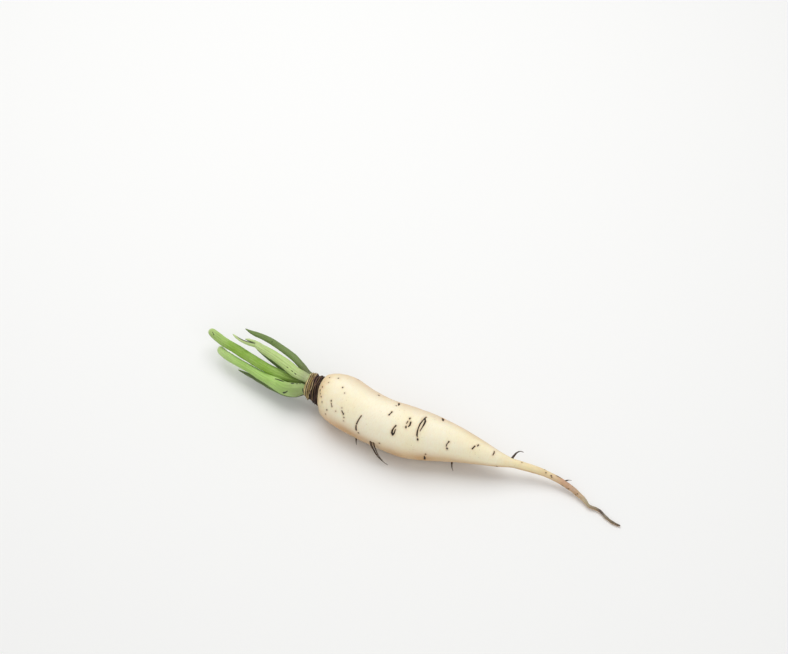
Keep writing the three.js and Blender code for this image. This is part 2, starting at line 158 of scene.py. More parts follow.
# Each stalk: its middle line from inside the crown outwards; the way its outer side faces, in
# degrees from +Y towards +Z; its width and its thickness outside and inside that line at even
# steps; how deep the channel on its inner side is; and how its far end is left
STALKS = {
    "stalk_front": {
        "points": [(-72, 2.1, 20.8), (-77, 1.8, 20.6), (-82, -1.3, 19.8), (-91, -2.9, 18.7),
                   (-101, -1.3, 17.9), (-114, 0.4, 16.9), (-129, 3, 16.4), (-142, 5.1, 15.7),
                   (-154, 7.7, 15), (-161.8, 11.2, 14.5)],
        "facing": [188, 172, 158, 150, 145, 142, 140, 140],
        "width": [9.8, 13.4, 12, 8.4, 6.9, 6.6, 7, 6.6],
        "outer": [3.4, 4, 3.9, 3.4, 3.1, 2.9, 2.8, 2.5],
        "inner": [2.8, 3, 2.8, 2.6, 2.3, 2.2, 2.1, 1.9],
        "channel": 0.35,
        "end": "cut",
    },
    "stalk_long": {
        "points": [(-72, 8.2, 21.1), (-77, 8, 21.1), (-85, 6.7, 21.5), (-92.6, 5.7, 22),
                   (-103.5, 5.3, 22.5), (-115, 6.2, 22.5), (-129, 8.4, 22.5), (-144, 11.6, 22),
                   (-156, 13.6, 21.5), (-166, 16.5, 21), (-175.3, 20, 20.5)],
        "facing": [120, 120, 118, 116, 115],
        "width": [6.2, 6.8, 7.5, 7.8, 7.9, 7.8, 7.8, 7.4, 6.6],
        "outer": [3, 3.3, 3.4, 3.4, 3.2, 3.1, 3, 2.7, 2.4],
        "inner": [2.9, 2.9, 2.8, 2.6, 2.4, 2.3, 2.1, 2, 1.8],
        "channel": 0.4,
        "wrap": 0,
        "end": "cut",
    },
    "stalk_forked": {
        "points": [(-72, 7.3, 28), (-78, 7.9, 28.8), (-86, 7.8, 30.2), (-95.6, 10.1, 31.4),
                   (-107.4, 12.7, 32), (-120, 15, 32), (-131, 16.7, 31.5)],
        "facing": [98, 104, 110, 112, 112],
        "width": [7, 8.8, 8.6, 7.9, 7.2, 4.8],
        "outer": [3, 3, 2.8, 2.6, 2.4, 1.8],
        "inner": [2.6, 2.4, 2.3, 2.1, 2, 1.4],
        "channel": 0.45,
        "end": "torn",
    },
    "stalk_pointed": {
        "points": [(-72, 12.9, 26.3), (-77, 13, 26.9), (-86, 16, 30.2), (-96, 19.4, 32.4),
                   (-107, 21.8, 33.5), (-117, 23.6, 34), (-127, 24.6, 34),
                   (-136.5, 24.8, 33.5), (-144, 26.1, 33)],
        "facing": [48, 62, 72, 80, 84, 88],
        "width": [5, 6.4, 6.5, 6.1, 5.6, 4.8, 1],
        "outer": [2.6, 2.7, 2.6, 2.3, 2.1, 1.7, 0.5],
        "inner": [2.4, 2.3, 2.1, 1.9, 1.7, 1.4, 0.4],
        "channel": 0.35,
        "end": "point",
    },
    "stalk_under": {
        "points": [(-72, 5.8, 14.6), (-77, 4.6, 13.9), (-83.2, 0.9, 11.6), (-91.5, -0.8, 9.8),
                   (-101.5, -0.3, 8.7), (-114, 1.3, 8), (-126, 3.1, 7.5), (-139, 3.8, 7)],
        "facing": [250, 240, 225, 215, 210],
        "width": [5.6, 6.6, 7, 6.9, 6.2, 4.8, 1.4],
        "outer": [2.6, 2.7, 2.6, 2.4, 2.2, 1.8, 0.6],
        "inner": [2.4, 2.3, 2.2, 2, 1.8, 1.5, 0.5],
        "channel": 0.35,
        "end": "point",
    },
    "stalk_behind": {
        "points": [(-72, 13.4, 16.4), (-78, 13.5, 15.9), (-88, 13.7, 15.3),
                   (-98.5, 15.7, 15.5), (-111.5, 18.8, 16), (-122, 21, 16.5),
                   (-132, 22.9, 17)],
        "facing": [318, 310, 300, 292, 290],
        "width": [6.2, 6.9, 7, 5.8, 4.4, 1.2],
        "outer": [2.6, 2.6, 2.4, 2.2, 1.9, 0.6],
        "inner": [2.4, 2.2, 2.1, 1.9, 1.6, 0.5],
        "channel": 0.35,
        "end": "point",
    },
}

# The two prongs that the forked stalk was torn into: radius and points
PRONGS = [
    (1.7, [(-119, 15.4, 31.4), (-124, 16.2, 31.3), (-129, 16.0, 31.2), (-135.2, 15, 31.2),
           (-141, 15, 31.2), (-146.3, 16.1, 31.2), (-151, 17.6, 31.2)]),
    (1.9, [(-117, 15.4, 31.6), (-123.4, 17, 31.7), (-129.6, 18.2, 31.9), (-134.8, 18.1, 31.9),
           (-139, 17.4, 31.9)]),
]

# How each kind of far end is shaped, in millimetres: how long the rounding is, what is left of the
# width at its end, how jagged and how slanted the end is, and how deep its middle has sunk in
ENDS = {
    "cut": {"blunt": 4.6, "left": 0.42, "jagged": 0.12, "slant": 0.2, "sunk": 0.3},
    "torn": {"blunt": 5, "left": 0.55, "jagged": 0.9, "slant": 0.3, "sunk": 1.6},
    "point": {"blunt": 2.5, "left": 0.3, "jagged": 0.1, "slant": 0, "sunk": 0},
}

# Radius that a stalk's dashes and its streaks are laid out on, in millimetres
STALK_ROUND = 3.2

# Dark dashes in the stalks: runs of (distance along the stalk, degrees round, half width)
STALK_MARKS = {
    "stalk_front": [
        [(29.6, 28, 0.3), (25.7, 17, 0.34), (22.5, 4, 0.3), (20.3, -2, 0.2)],
        [(14.2, 6, 0.3), (11.4, 8, 0.3)],
        [(9, 13, 0.32), (7.6, 17, 0.26)],
        [(6.2, 16, 0.3)],
        [(19.5, 112, 0.34), (17.6, 96, 0.26), (16.1, 82, 0.16)],
        [(3.6, 62, 0.3), (2.6, 80, 0.44), (2, 96, 0.3)],
    ],
    "stalk_long": [[(99.9, 84, 0.18), (98.4, 95, 0.16), (96.9, 105, 0.2)]],
    "stalk_forked": [
        [(22.6, 119, 0.14), (20.6, 114, 0.18)],
        [(17.3, 116, 0.2), (15.8, 116, 0.24)],
        [(14.1, 121, 0.2), (12.8, 126, 0.28)],
    ],
    "stalk_pointed": [[(47.1, 128, 0.26), (46.3, 118, 0.2)], [(6.9, 103, 0.3)], [(43, 96, 0.18)]],
}

# How far the crown's lower side is set back along the root, how deep its foot is sunk in the
# root, how far its top lies to the far side and upwards, and how deep the stalks are sunk in it
LEAN, CROWN_SUNK, CROWN_TILT, STALKS_SUNK = 1.7, 0.3, (1.3, 0.3), 0.6
# How dark each old leaf base is, from the root to the stalks: 0 is nearly black and 1 is straw
STRAND_TONES = [0.04, 0.26, 0.4, 0.24, 0.72, 0.9, 1.0]
# How the border of each ring wanders round the crown: waves a turn and how far each goes
WAVES = [(1, 0.03), (2, 0.018), (5, 0.008)]
# Loose strands that cross the rings: place along the crown, half width and tone
CROSSINGS = [(0.3, 0.026, 0.55), (0.62, 0.03, 0.92)]
# Knobs beside the root: place along the crown, degrees round it, width and height
KNOBS = [(0.12, 52, 0.9, 0.9), (0.2, 215, 0.9, 0.9), (0.1, 228, 0.7, 0.7)]
# Length and radius of the straight crown that its grain is laid out on, in millimetres
CROWN_FLAT = (12, 11)

# How far from the edge of a mark, in millimetres, the faces are halved the first and second time
ROOT_MARGINS = (1.5, 0.75)
STALK_MARGINS = (0.9, 0.45)

# Faces round a stalk, round a prong, round the crown and round a loose fibre
STALK_COLUMNS, PRONG_COLUMNS, CROWN_COLUMNS, FIBRE_COLUMNS = 72, 32, 230, 7

# The camera's lens and sensor in millimetres and the point it looks at, in metres
LENS, SENSOR = 100, 36
AIM = (-0.02743, 0.06521, 0.05915)
# Each lamp: the side of its square and its place, in metres
LAMPS = {"key": (1.3, (-0.35, 0.45, 1.35)), "fill": (1.2, (0.9, -0.9, 0.9))}


# Sizes and colours that a user would change


def number(name, description, default, **more):
    return FloatProperty(name=name, description=description, default=default, **more)


def length(name, description, default):
    """A size in metres that the sidebar shows in the scene's unit."""
    return number(name, description, default, min=0, subtype="DISTANCE", unit="LENGTH")


def colour(name, description, default):
    """A colour as the sidebar shows it, in scene-linear red, green and blue."""
    return FloatVectorProperty(
        name=name, description=description, default=default, min=0, max=1, subtype="COLOR", size=3
    )


class RootSettings(bpy.types.PropertyGroup):
    """Sizes and colours of the root and its side roots."""

    body_radius: length("Body radius", "Radius of the root at its thickest", 0.0207)
    body_length: length("Body length", "From the crown to where the tail begins", 0.157)
    tail_length: length("Tail length", "Length of the thin tail", 0.113)
    tip_radius: length("Tip radius", "Radius of the tail near its tip", 0.0009)
    mark_depth: length("Mark depth", "How deep the dark marks lie in the skin", 0.00035)
    columns: IntProperty(name="Columns", description="Faces round the root", default=152, min=24)
    cream: colour("Cream", "Main colour of the skin", (0.955, 0.885, 0.675))
    butter: colour("Butter", "Warmer patches in the skin", (0.92, 0.79, 0.44))
    # Peach colour of the shoulder and of the skin's streaks, also used as painted shade on the
    # lower flank near the shoulder
    blush: colour("Blush", "Peach stain round the shoulder", (0.82, 0.53, 0.28))
    # Tan colour of the staining underneath, also used as painted shade along the lower flank and
    # the upper edge
    stain: colour("Stain", "Tan stain along the flanks", (0.56, 0.335, 0.15))
    bark: colour("Bark", "The dry end of the tail and the side roots", (0.045, 0.026, 0.016))
    mark: colour("Mark", "Marks and pores in the skin", (0.013, 0.007, 0.004))


class CrownSettings(bpy.types.PropertyGroup):
    """Sizes and colours of the ringed crown."""

    radius: length("Radius", "Where the crown meets the root", 0.0112)
    length: length("Length", "From the root to the stalks", 0.012)
    ring_depth: length("Ring depth", "How far each old leaf base stands out", 0.0011)
    rings: IntProperty(name="Rings", description="Old leaf bases round it", default=7, min=2)
    fibres: IntProperty(name="Fibres", description="Loose fibres round it", default=30, min=0)
    straw: colour("Straw", "Youngest leaf base, beside the stalks", (0.80, 0.68, 0.32))
    husk: colour("Husk", "Dry leaf bases in the middle", (0.24, 0.15, 0.085))
    pitch: colour("Pitch", "Oldest leaf bases, beside the root", (0.016, 0.008, 0.008))


class StalkSettings(bpy.types.PropertyGroup):
    """Sizes and colours of the leaf stalks."""

    rib_height: length("Rib height", "How far the ribs along a stalk stand out", 0.00014)
    front: colour("Front stalk", "Stalk nearest the viewer", (0.41, 0.635, 0.16))
    long: colour("Long stalk", "Stalk in the middle", (0.26, 0.445, 0.048))
    forked: colour("Forked stalk", "Stalk torn into two prongs", (0.475, 0.625, 0.22))
    # The pointed stalk lies behind, the under stalk beneath and the hidden stalk behind the others:
    # their darker tints are partly their own olive, partly painted shade
    pointed: colour("Pointed stalk", "Stalk on the far side", (0.16, 0.24, 0.06))
    under: colour("Under stalk", "Stalk nearest the floor", (0.12, 0.175, 0.05))
    behind: colour("Hidden stalk", "Stalk behind the others", (0.10, 0.16, 0.038))
    cut: colour("Cut", "Fresh face where a stalk was cut", (0.70, 0.80, 0.42))


class StageSettings(bpy.types.PropertyGroup):
    """The floor, the light and the view."""

    floor_size: length("Floor size", "Side of the square floor", 8.0)
    floor: colour("Floor", "Colour of the floor", (0.88, 0.88, 0.87))
    key_power: number("Key light", "Power of the main light", 14, unit="POWER")
    fill_power: number("Fill light", "Power of the fill light", 4, unit="POWER")
    sky: number("Sky", "Strength of the even light from all round", 0.5)
    azimuth: number("Azimuth", "Way round to the camera", math.radians(28), subtype="ANGLE")
    elevation: number("Elevation", "Height of the camera", math.radians(50), subtype="ANGLE")
    distance: length("Distance", "From the camera to what it looks at", 1.7511)


class RadishSettings(bpy.types.PropertyGroup):
    """Everything that the sidebar lists."""

    root: PointerProperty(type=RootSettings)
    crown: PointerProperty(type=CrownSettings)
    stalks: PointerProperty(type=StalkSettings)
    stage: PointerProperty(type=StageSettings)


# Helpers for shapes


def step(low, high, value):
    """0 below low, 1 above high and a smooth rise between; low may be the larger."""
    t = np.clip((np.asarray(value, float) - low) / (high - low), 0, 1)
    return t * t * (3 - 2 * t)


def dot(a, b):
    return np.sum(a * b, axis=-1, keepdims=True)


def unit(vectors):
    return vectors / np.maximum(np.linalg.norm(vectors, axis=-1, keepdims=True), 1e-9)


def turned(angle, degrees):
    """How far each angle lies from the given degrees, from -pi to pi."""
    return (angle - math.radians(degrees) + math.pi) % math.tau - math.pi


def unbent(along, radius, angle):
    """Points of a straight tube, on which grain and marks are laid out before it is bent."""
    return np.stack([along, radius * np.cos(angle), radius * np.sin(angle)], -1)


def ripple(points, size, seed=0.0):
    """Smooth noise from about -1 to 1 at each point, with bumps of the given size."""
    return np.array([noise.noise(Vector(p)) for p in np.asarray(points) / size + seed])


class Line:
    """A smooth line through set points, read by the distance along it, in millimetres."""

    def __init__(self, points, samples=120):
        points = np.array(points, float)
        first, last = 2 * points[0] - points[1], 2 * points[-1] - points[-2]
        ends = np.vstack([first, points, last])
        t = np.linspace(0, 1, samples, endpoint=False)[:, None]
        spans = []
        for p0, p1, p2, p3 in zip(ends, ends[1:], ends[2:], ends[3:]):
            k0, k1, k2 = (np.linalg.norm(b - a) ** 0.5 for a, b in ((p0, p1), (p1, p2), (p2, p3)))
            leave = k1 * ((p1 - p0) / k0 - (p2 - p0) / (k0 + k1) + (p2 - p1) / k1)
            arrive = k1 * ((p2 - p1) / k1 - (p3 - p1) / (k1 + k2) + (p3 - p2) / k2)
            bend = 3 * (p2 - p1) - 2 * leave - arrive
            twist = 2 * (p1 - p2) + leave + arrive
            spans.append(p1 + leave * t + bend * t**2 + twist * t**3)
        self.points = np.vstack([*spans, points[-1:]])
        steps = np.linalg.norm(np.diff(self.points, axis=0), axis=1)
        self.reach = np.concatenate([[0], np.cumsum(steps)])
        self.length = float(self.reach[-1])
        self.along = unit(np.gradient(self.points, self.reach, axis=0))

    def frame(self, distance, angle):
        """Centre, way along, way out and way across at each distance; out leans towards the angle
        from +Y towards +Z."""
        centre, along = (
            np.stack([np.interp(distance, self.reach, table[:, k]) for k in range(3)], -1)
            for table in (self.points, self.along)
        )
        along = unit(along)
        out = unbent(np.zeros_like(angle), 1.0, angle)
        out = unit(out - along * dot(out, along))
        return centre, along, out, np.cross(along, out)


def spun_tube(stops, columns):
    """A closed tube of radius 1 along X, spun from a row of (place along X, rim) points."""
    tube = bmesh.new()
    row = [tube.verts.new((place, rim, 0)) for place, rim in stops]
    for a, b in zip(row, row[1:]):
        tube.edges.new((a, b))
    bmesh.ops.spin(
        tube,
        geom=tube.verts[:] + tube.edges[:],
        cent=(0, 0, 0),
        axis=(1, 0, 0),
        angle=math.tau,
        steps=columns,
        use_merge=True,
    )
    bmesh.ops.remove_doubles(tube, verts=tube.verts, dist=1e-5)
    return tube


def closed_row(places, rims=(0, 0.5)):
    """Stops for a tube along the given places, with both of its ends closed by smaller rims."""
    start = [(places[0], rim) for rim in rims]
    end = [(places[-1], rim) for rim in reversed(rims)]
    return start + [(place, 1) for place in places] + end


def coordinates(tube):
    """Place along X, rim and angle round X of every vertex."""
    co = np.array([v.co for v in tube.verts])
    return co[:, 0], np.hypot(co[:, 1], co[:, 2]), np.arctan2(co[:, 2], co[:, 1])


def refine(tube, near):
    """Halve the faces whose corners all pass the test near(place, rim, angle)."""
    chosen = near(*coordinates(tube))
    tube.verts.index_update()
    edges = [e for e in tube.edges if chosen[e.verts[0].index] and chosen[e.verts[1].index]]
    bmesh.ops.subdivide_edges(tube, edges=edges, cuts=1, use_grid_fill=True)


def mesh_of(name, parts, trim=None):
    """One mesh in metres from tubes, each with the function that places its vertices.

    A place function gets place, rim and angle and returns the points in millimetres and the
    values to keep on them by name. trim is a point and a normal: what lies behind is cut away.
    """
    whole = bmesh.new()
    for tube, place in parts:
        points, values = place(*coordinates(tube))
        part = bpy.data.meshes.new(name)
        tube.to_mesh(part)
        tube.free()
        part.vertices.foreach_set("co", (points * MM).astype(np.float32).ravel())
        for key, value in values.items():
            value = np.asarray(value, np.float32)
            kind, field = ("FLOAT", "value") if value.ndim == 1 else ("FLOAT_VECTOR", "vector")
            layer = part.attributes.new(key, kind, "POINT")
            layer.data.foreach_set(field, value.ravel())
        whole.from_mesh(part)
        bpy.data.meshes.remove(part)
    bmesh.ops.remove_doubles(whole, verts=whole.verts, dist=1e-7)
    if trim:
        point, normal = (Vector(v) for v in trim)
        geometry = whole.verts[:] + whole.edges[:] + whole.faces[:]
        cut = bmesh.ops.bisect_plane(
            whole, geom=geometry, plane_co=point * MM, plane_no=normal, clear_inner=True
        )
        rim = [g for g in cut["geom_cut"] if isinstance(g, bmesh.types.BMEdge)]
        bmesh.ops.contextual_create(whole, geom=rim)
    bmesh.ops.recalc_face_normals(whole, faces=whole.faces)
    mesh = bpy.data.meshes.new(name)
    whole.to_mesh(mesh)
    whole.free()
    mesh.shade_smooth()
    return mesh


def show(name, mesh, material, slot, *nodes):
    """Add the finished piece, which rides on the root body and stands for the CAD nodes."""
    mesh.materials.append(material)
    piece = bpy.data.objects.new(name, mesh)
    bpy.context.scene.collection.objects.link(piece)
    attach(piece, "root")
    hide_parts(*nodes)
    return piece


def rod(line, radius, columns=10, spacing=0.6, roughness=0.12, seed=0.0, tone=0.0):
    """A thin tapering rod along a line, and the function that places it."""
    rows = max(8, round(line.length / spacing))
    tube = spun_tube(closed_row(np.linspace(0, 1, rows)), columns)

    def place(share, rim, angle):
        centre, _, out, across = line.frame(share * line.length, np.full_like(share, math.pi / 2))
        reach = unbent(share * line.length, 1.0, angle)
        thick = radius(share) * (1 + roughness * ripple(reach * (1, 1.5, 1.5), 1.4, seed))
        turn = out * np.sin(angle)[:, None] + across * np.cos(angle)[:, None]
        points = centre + turn * (rim * thick)[:, None]
        straight = unbent(share * line.length, thick, angle)
        values = {"straight": straight, "share": share, "tone": np.full_like(share, tone)}
        return points, values

    return tube, place


# Root


class RootShape:
    """The root's middle line, thickness and soft lumps, for every piece that touches its skin."""

    def __init__(self):
        settings = self.settings = bpy.context.scene.radish.root
        self.line = Line(ROOT_LINE)
        self.thickest, body = settings.body_radius / MM, settings.body_length / MM
        tail = settings.tail_length / MM
        rows = [(0, bpy.context.scene.radish.crown.radius / MM)]
        rows += [(distance, share * self.thickest) for distance, share in SHOULDER]
        rows += [(place * body, share * self.thickest) for place, share in BODY]
        rows += [(body + place * tail, share * self.thickest) for place, share in TAIL]
        self.rows, self.tip = np.array(rows), settings.tip_radius / MM

    def radius(self, distance):
        """Radius of the root at each distance from the crown, rounded off at the tip."""
        distance = np.asarray(distance, float)
        x, y = self.rows.T
        y = np.concatenate([[2 * y[0] - y[1]], y, [2 * y[-1] - y[-2]]])
        i = np.clip(np.searchsorted(x, distance, side="right") - 1, 0, len(x) - 2)
        t = (distance - x[i]) / (x[i + 1] - x[i])
        y0, y1, y2, y3 = y[i], y[i + 1], y[i + 2], y[i + 3]
        leave, arrive = (y2 - y0) / 2, (y3 - y1) / 2
        smooth = y1 + leave * t + (3 * (y2 - y1) - 2 * leave - arrive) * t**2
        smooth += (2 * (y1 - y2) + leave + arrive) * t**3
        rest = np.clip((distance - x[-1]) / (self.line.length - x[-1]), 0, 1)
        return np.where(distance >= x[-1], self.tip * np.sqrt(1 - rest * rest), smooth)

    def lump(self, distance, angle):
        """Soft lumps, largest where the root is thick and none at the crown."""
        rolls = 0.3 * np.sin(distance / 11 + 2 * np.sin(angle))
        twist = 0.22 * np.sin(2 * angle + distance / 17)
        return step(4, 30, distance) * (rolls + twist) * self.radius(distance) / self.thickest

    def gap(self, run, distance, angle):
        scale = float(self.radius(np.mean([place[0] for place in run])))
        return gap_to(run, distance, angle, scale)

    def skin(self, distance, angle, height=0.0):
        """Points of the skin at distances from the crown, angles round it and heights over it."""
        centre, _, out, _ = self.line.frame(distance, angle)
        reach = self.radius(distance) + self.lump(distance, angle) + height
        return centre + out * reach[..., None]


def hidden_marks():
    """Marks and pores on the side that the main view doesn't show, like those on the near side."""
    chance = random.Random(11)
    draw = chance.uniform
    marks = []
    for _ in range(HIDDEN_MARKS):
        distance, angle = draw(10, 152), draw(-132, 34)
        span, slope, wide = draw(4, 17), draw(-1.4, 1.4), draw(0.24, 0.46)
        bend = draw(-1.2, 1.2)
        run = [
            (distance + slope * t + bend * (1 - t * t), angle + span * t, wide * draw(0.5, 1.2))
            for t in (-1, -0.5, 0, 0.5, 1)
        ]
        marks.append(run)
    pores = [(draw(2, 150), draw(-134, 38), draw(0.2, 0.44)) for _ in range(HIDDEN_PORES)]
    pores += [(draw(160, 232), draw(-180, 180), 0.28) for _ in range(TAIL_PORES)]
    return marks, pores


def gap_to(run, distance, angle, scale):
    """How far each place on a skin is from the edge of a mark, in millimetres; large if far.

    scale is the radius of the piece there.
    """
    run = np.array(run, float).reshape(-1, 3) * (1, 1, MARK_SPREAD)
    middle, last = run.mean(0), len(run) - 1
    here = np.stack([distance, turned(angle, middle[1]) * scale], -1)
    points = np.stack([run[:, 0], np.radians(run[:, 1] - middle[1]) * scale], -1)
    far = np.abs(points - (middle[0], 0)).max(0) + 4
    near = (np.abs(here - (middle[0], 0)) < far).all(-1)
    gap = np.full(len(distance), 99.0)
    best = gap[near]
    for i in range(max(1, last)):
        a, b = points[i], points[min(i + 1, last)]
        t = np.clip((here[near] - a) @ (b - a) / max((b - a) @ (b - a), 1e-9), 0, 1)
        wide = run[i, 2] + (run[min(i + 1, last), 2] - run[i, 2]) * t
        wide = wide * (1 - 0.6 * (2 * t - 1) ** 4) if last == 1 else wide
        off = here[near] - a - t[:, None] * (b - a)
        best = np.minimum(best, np.linalg.norm(off, axis=1) - wide)
    gap[near] = best
    return gap


def scar_gap(shape, scar, distance, angle):
    """0 in the middle of a lens-shaped scar and 1 at its edge."""
    middle, degrees, span, width, _ = scar
    round_way = turned(angle, degrees) * float(shape.radius(middle)) / (span / 2)
    return np.hypot((distance - middle) / (width / 2), round_way)


def lean(angle):
    """How far the crown's lower side is set back along the root, which grew a little oblique."""
    return LEAN * step(-0.2, 0.9, np.cos(angle - math.radians(206)))


def root_stops(shape):
    """Rows of the root from the crown to the tip, closer at both ends."""
    end = shape.line.length
    shoulder = np.linspace(0, 8, 18)
    body = np.arange(8.7, 165, 0.84)
    tail = np.arange(165, end - 3, 0.95)
    tip = end - 3 * np.linspace(1, 0, 9) ** 1.6
    places = np.concatenate([shoulder, body, tail, tip])
    start = [(0, rim) for rim in (0, 0.35, 0.7, 0.9)]
    return start + [(place, 1) for place in places[:-1]] + [(places[-1], 0)]


def skin_relief(shape, points, distance, angle):
    """Height of the fine shapes of the skin over the soft lumps."""
    thin = shape.radius(distance) / shape.thickest
    soft = 0.3 * step(5, 25, distance) * ripple(points, 17, 3.1) * thin
    dimples = 0.09 * ripple(points, 5, 7.7) * np.sqrt(thin)
    creases = 0.07 * ripple(unbent(distance * 0.6, 3.2, angle), 1.5, 1.3)
    folds = 0.32 * step(17, 0, distance) * step(0, 3, distance)
    folds = folds * np.sin(11 * angle + 1.6 * np.sin(3 * angle) + distance / 6)
    gnarls = 0.26 * ripple(points, 3.4, 5.2) + 0.12 * ripple(points, 1.6, 9)
    gnarls = step(196, 226, distance) * gnarls
    ridges = 0.13 * step(206, 240, distance) * step(262, 250, distance)
    ridges = ridges * np.sin(4 * angle + distance / 3)
    kept = step(shape.line.length, shape.line.length - 5, distance)
    return soft + dimples + creases + folds + (gnarls + ridges) * kept


def place_root(shape, marks):
    """The function that bends the spun tube into the root, with its marks and its stains."""
    depth = shape.settings.mark_depth / MM

    def place(distance, rim, angle):
        base = shape.skin(distance, angle)
        height = skin_relief(shape, base, distance, angle)

        # Scars and marks sink in, with a stained edge
        mark, halo = np.zeros_like(distance), np.zeros_like(distance)
        for scar in SCARS:
            gap = scar_gap(shape, scar, distance, angle)
            height -= scar[4] * step(1.05, 0.35, gap)
            halo = np.maximum(halo, 0.5 * step(1.6, 0.8, gap))
        for run in marks:
            gap = shape.gap(run, distance, angle)
            mark = np.maximum(mark, step(0.16, -0.1, gap))
            height += 0.1 * np.exp(-(((gap - 0.42) / 0.3) ** 2)) - depth * step(0.3, -0.25, gap)
            halo = np.maximum(halo, np.exp(-np.maximum(gap, 0) / 0.55))

        # The flat spot is where the root rests on the floor
        centre, _, out, _ = shape.line.frame(distance, angle)
        reach = (shape.radius(distance) + shape.lump(distance, angle) + height) * rim
        points = centre + out * reach[:, None]
        points[:, 0] += lean(angle) * step(17, 3, distance)
        points[:, 2] = np.maximum(points[:, 2], 0)

        # Tan underneath, fainter on the far side and at the upper edge, and peach at the shoulder:
        # partly staining, partly painted shade, strongest along the lower near flank
        degrees = np.degrees(angle)
        far = step(75, 40, degrees) * step(-150, -90, degrees)
        uneven = 0.85 + (0.5 - 0.36 * far) * ripple(base, 19, 4.4)
        # Painted shade, strongest at the lower near flank, over tan staining across the underside
        low = step(0.76, 0.06, np.sin(angle - math.radians(20)))
        low = low * (0.35 + 0.65 * step(-0.2, 0.5, np.cos(angle - math.radians(212))))
        # Tan on the far side up to the upper edge, partly staining and partly painted shade at that
        # edge
        high = 0.42 * step(-150, -60, degrees) + 0.3 * step(-60, 34, degrees)
        high = step(88, 34, degrees) * high * step(190, 130, distance)
        stain = np.maximum(low, high) * uneven
        # Peach round the shoulder, and painted shade on the lower flank near it
        blush = np.maximum(step(12, 1, distance), low * step(45, 20, distance)) * uneven
        values = {"straight": unbent(distance, reach, angle), "mark": mark, "halo": halo}
        values |= {"stain": np.clip(stain, 0, 1), "blush": np.clip(blush, 0, 1)}
        return points, values

    return place


def far_roots(shape):
    """The short side roots on the far side: where each leaves the root and how it droops."""
    seed, multiplier, modulus = FAR_DRAW

    def draw(low, high):
        nonlocal seed
        seed = seed * multiplier % modulus
        return low + (high - low) * seed / modulus

    count, start, end = (FAR_ROOTS[k] for k in ("count", "start", "end"))
    lines = []
    for i in range(count):
        distance = start + (end - start) * (i + draw(0.1, 0.9)) / count
        angle = math.radians(draw(FAR_ROOTS["low"], FAR_ROOTS["high"]))
        reach_out, slope = draw(4, 8), draw(0.1, 0.7)
        points = []
        for reach in (-1.6, 0.3 * reach_out, 0.7 * reach_out, reach_out):
            lift = min(reach, 0.7 * reach + 1)
            x, y, z = shape.skin(np.array([distance]), np.array([angle]), lift)[0]
            over = max(reach, 0)
            points.append((x + slope * over, y, max(z - 0.05 * over**2, 1.2)))
        lines.append((FAR_ROOTS["radius"], points))
    return lines


def side_root_parts(shape):
    """All side roots as rods: thick where they leave the skin, thin and a little knotty beyond."""
    parts = []
    for number, (radius, points) in enumerate(SIDE_ROOTS + far_roots(shape)):
        line = Line(points)

        def taper(share, radius=radius):
            flare = 0.35 * step(0.42, 0.12, share)
            tip = 0.25 + 0.75 * step(1.02, 0.35, share)
            return radius * (0.85 + flare) * tip * np.sqrt(np.clip((1.001 - share) * 30, 0, 1))

        parts.append(rod(line, taper, spacing=0.4, roughness=0.3, seed=number * 3.7, tone=0.3))
    return parts


# Crown


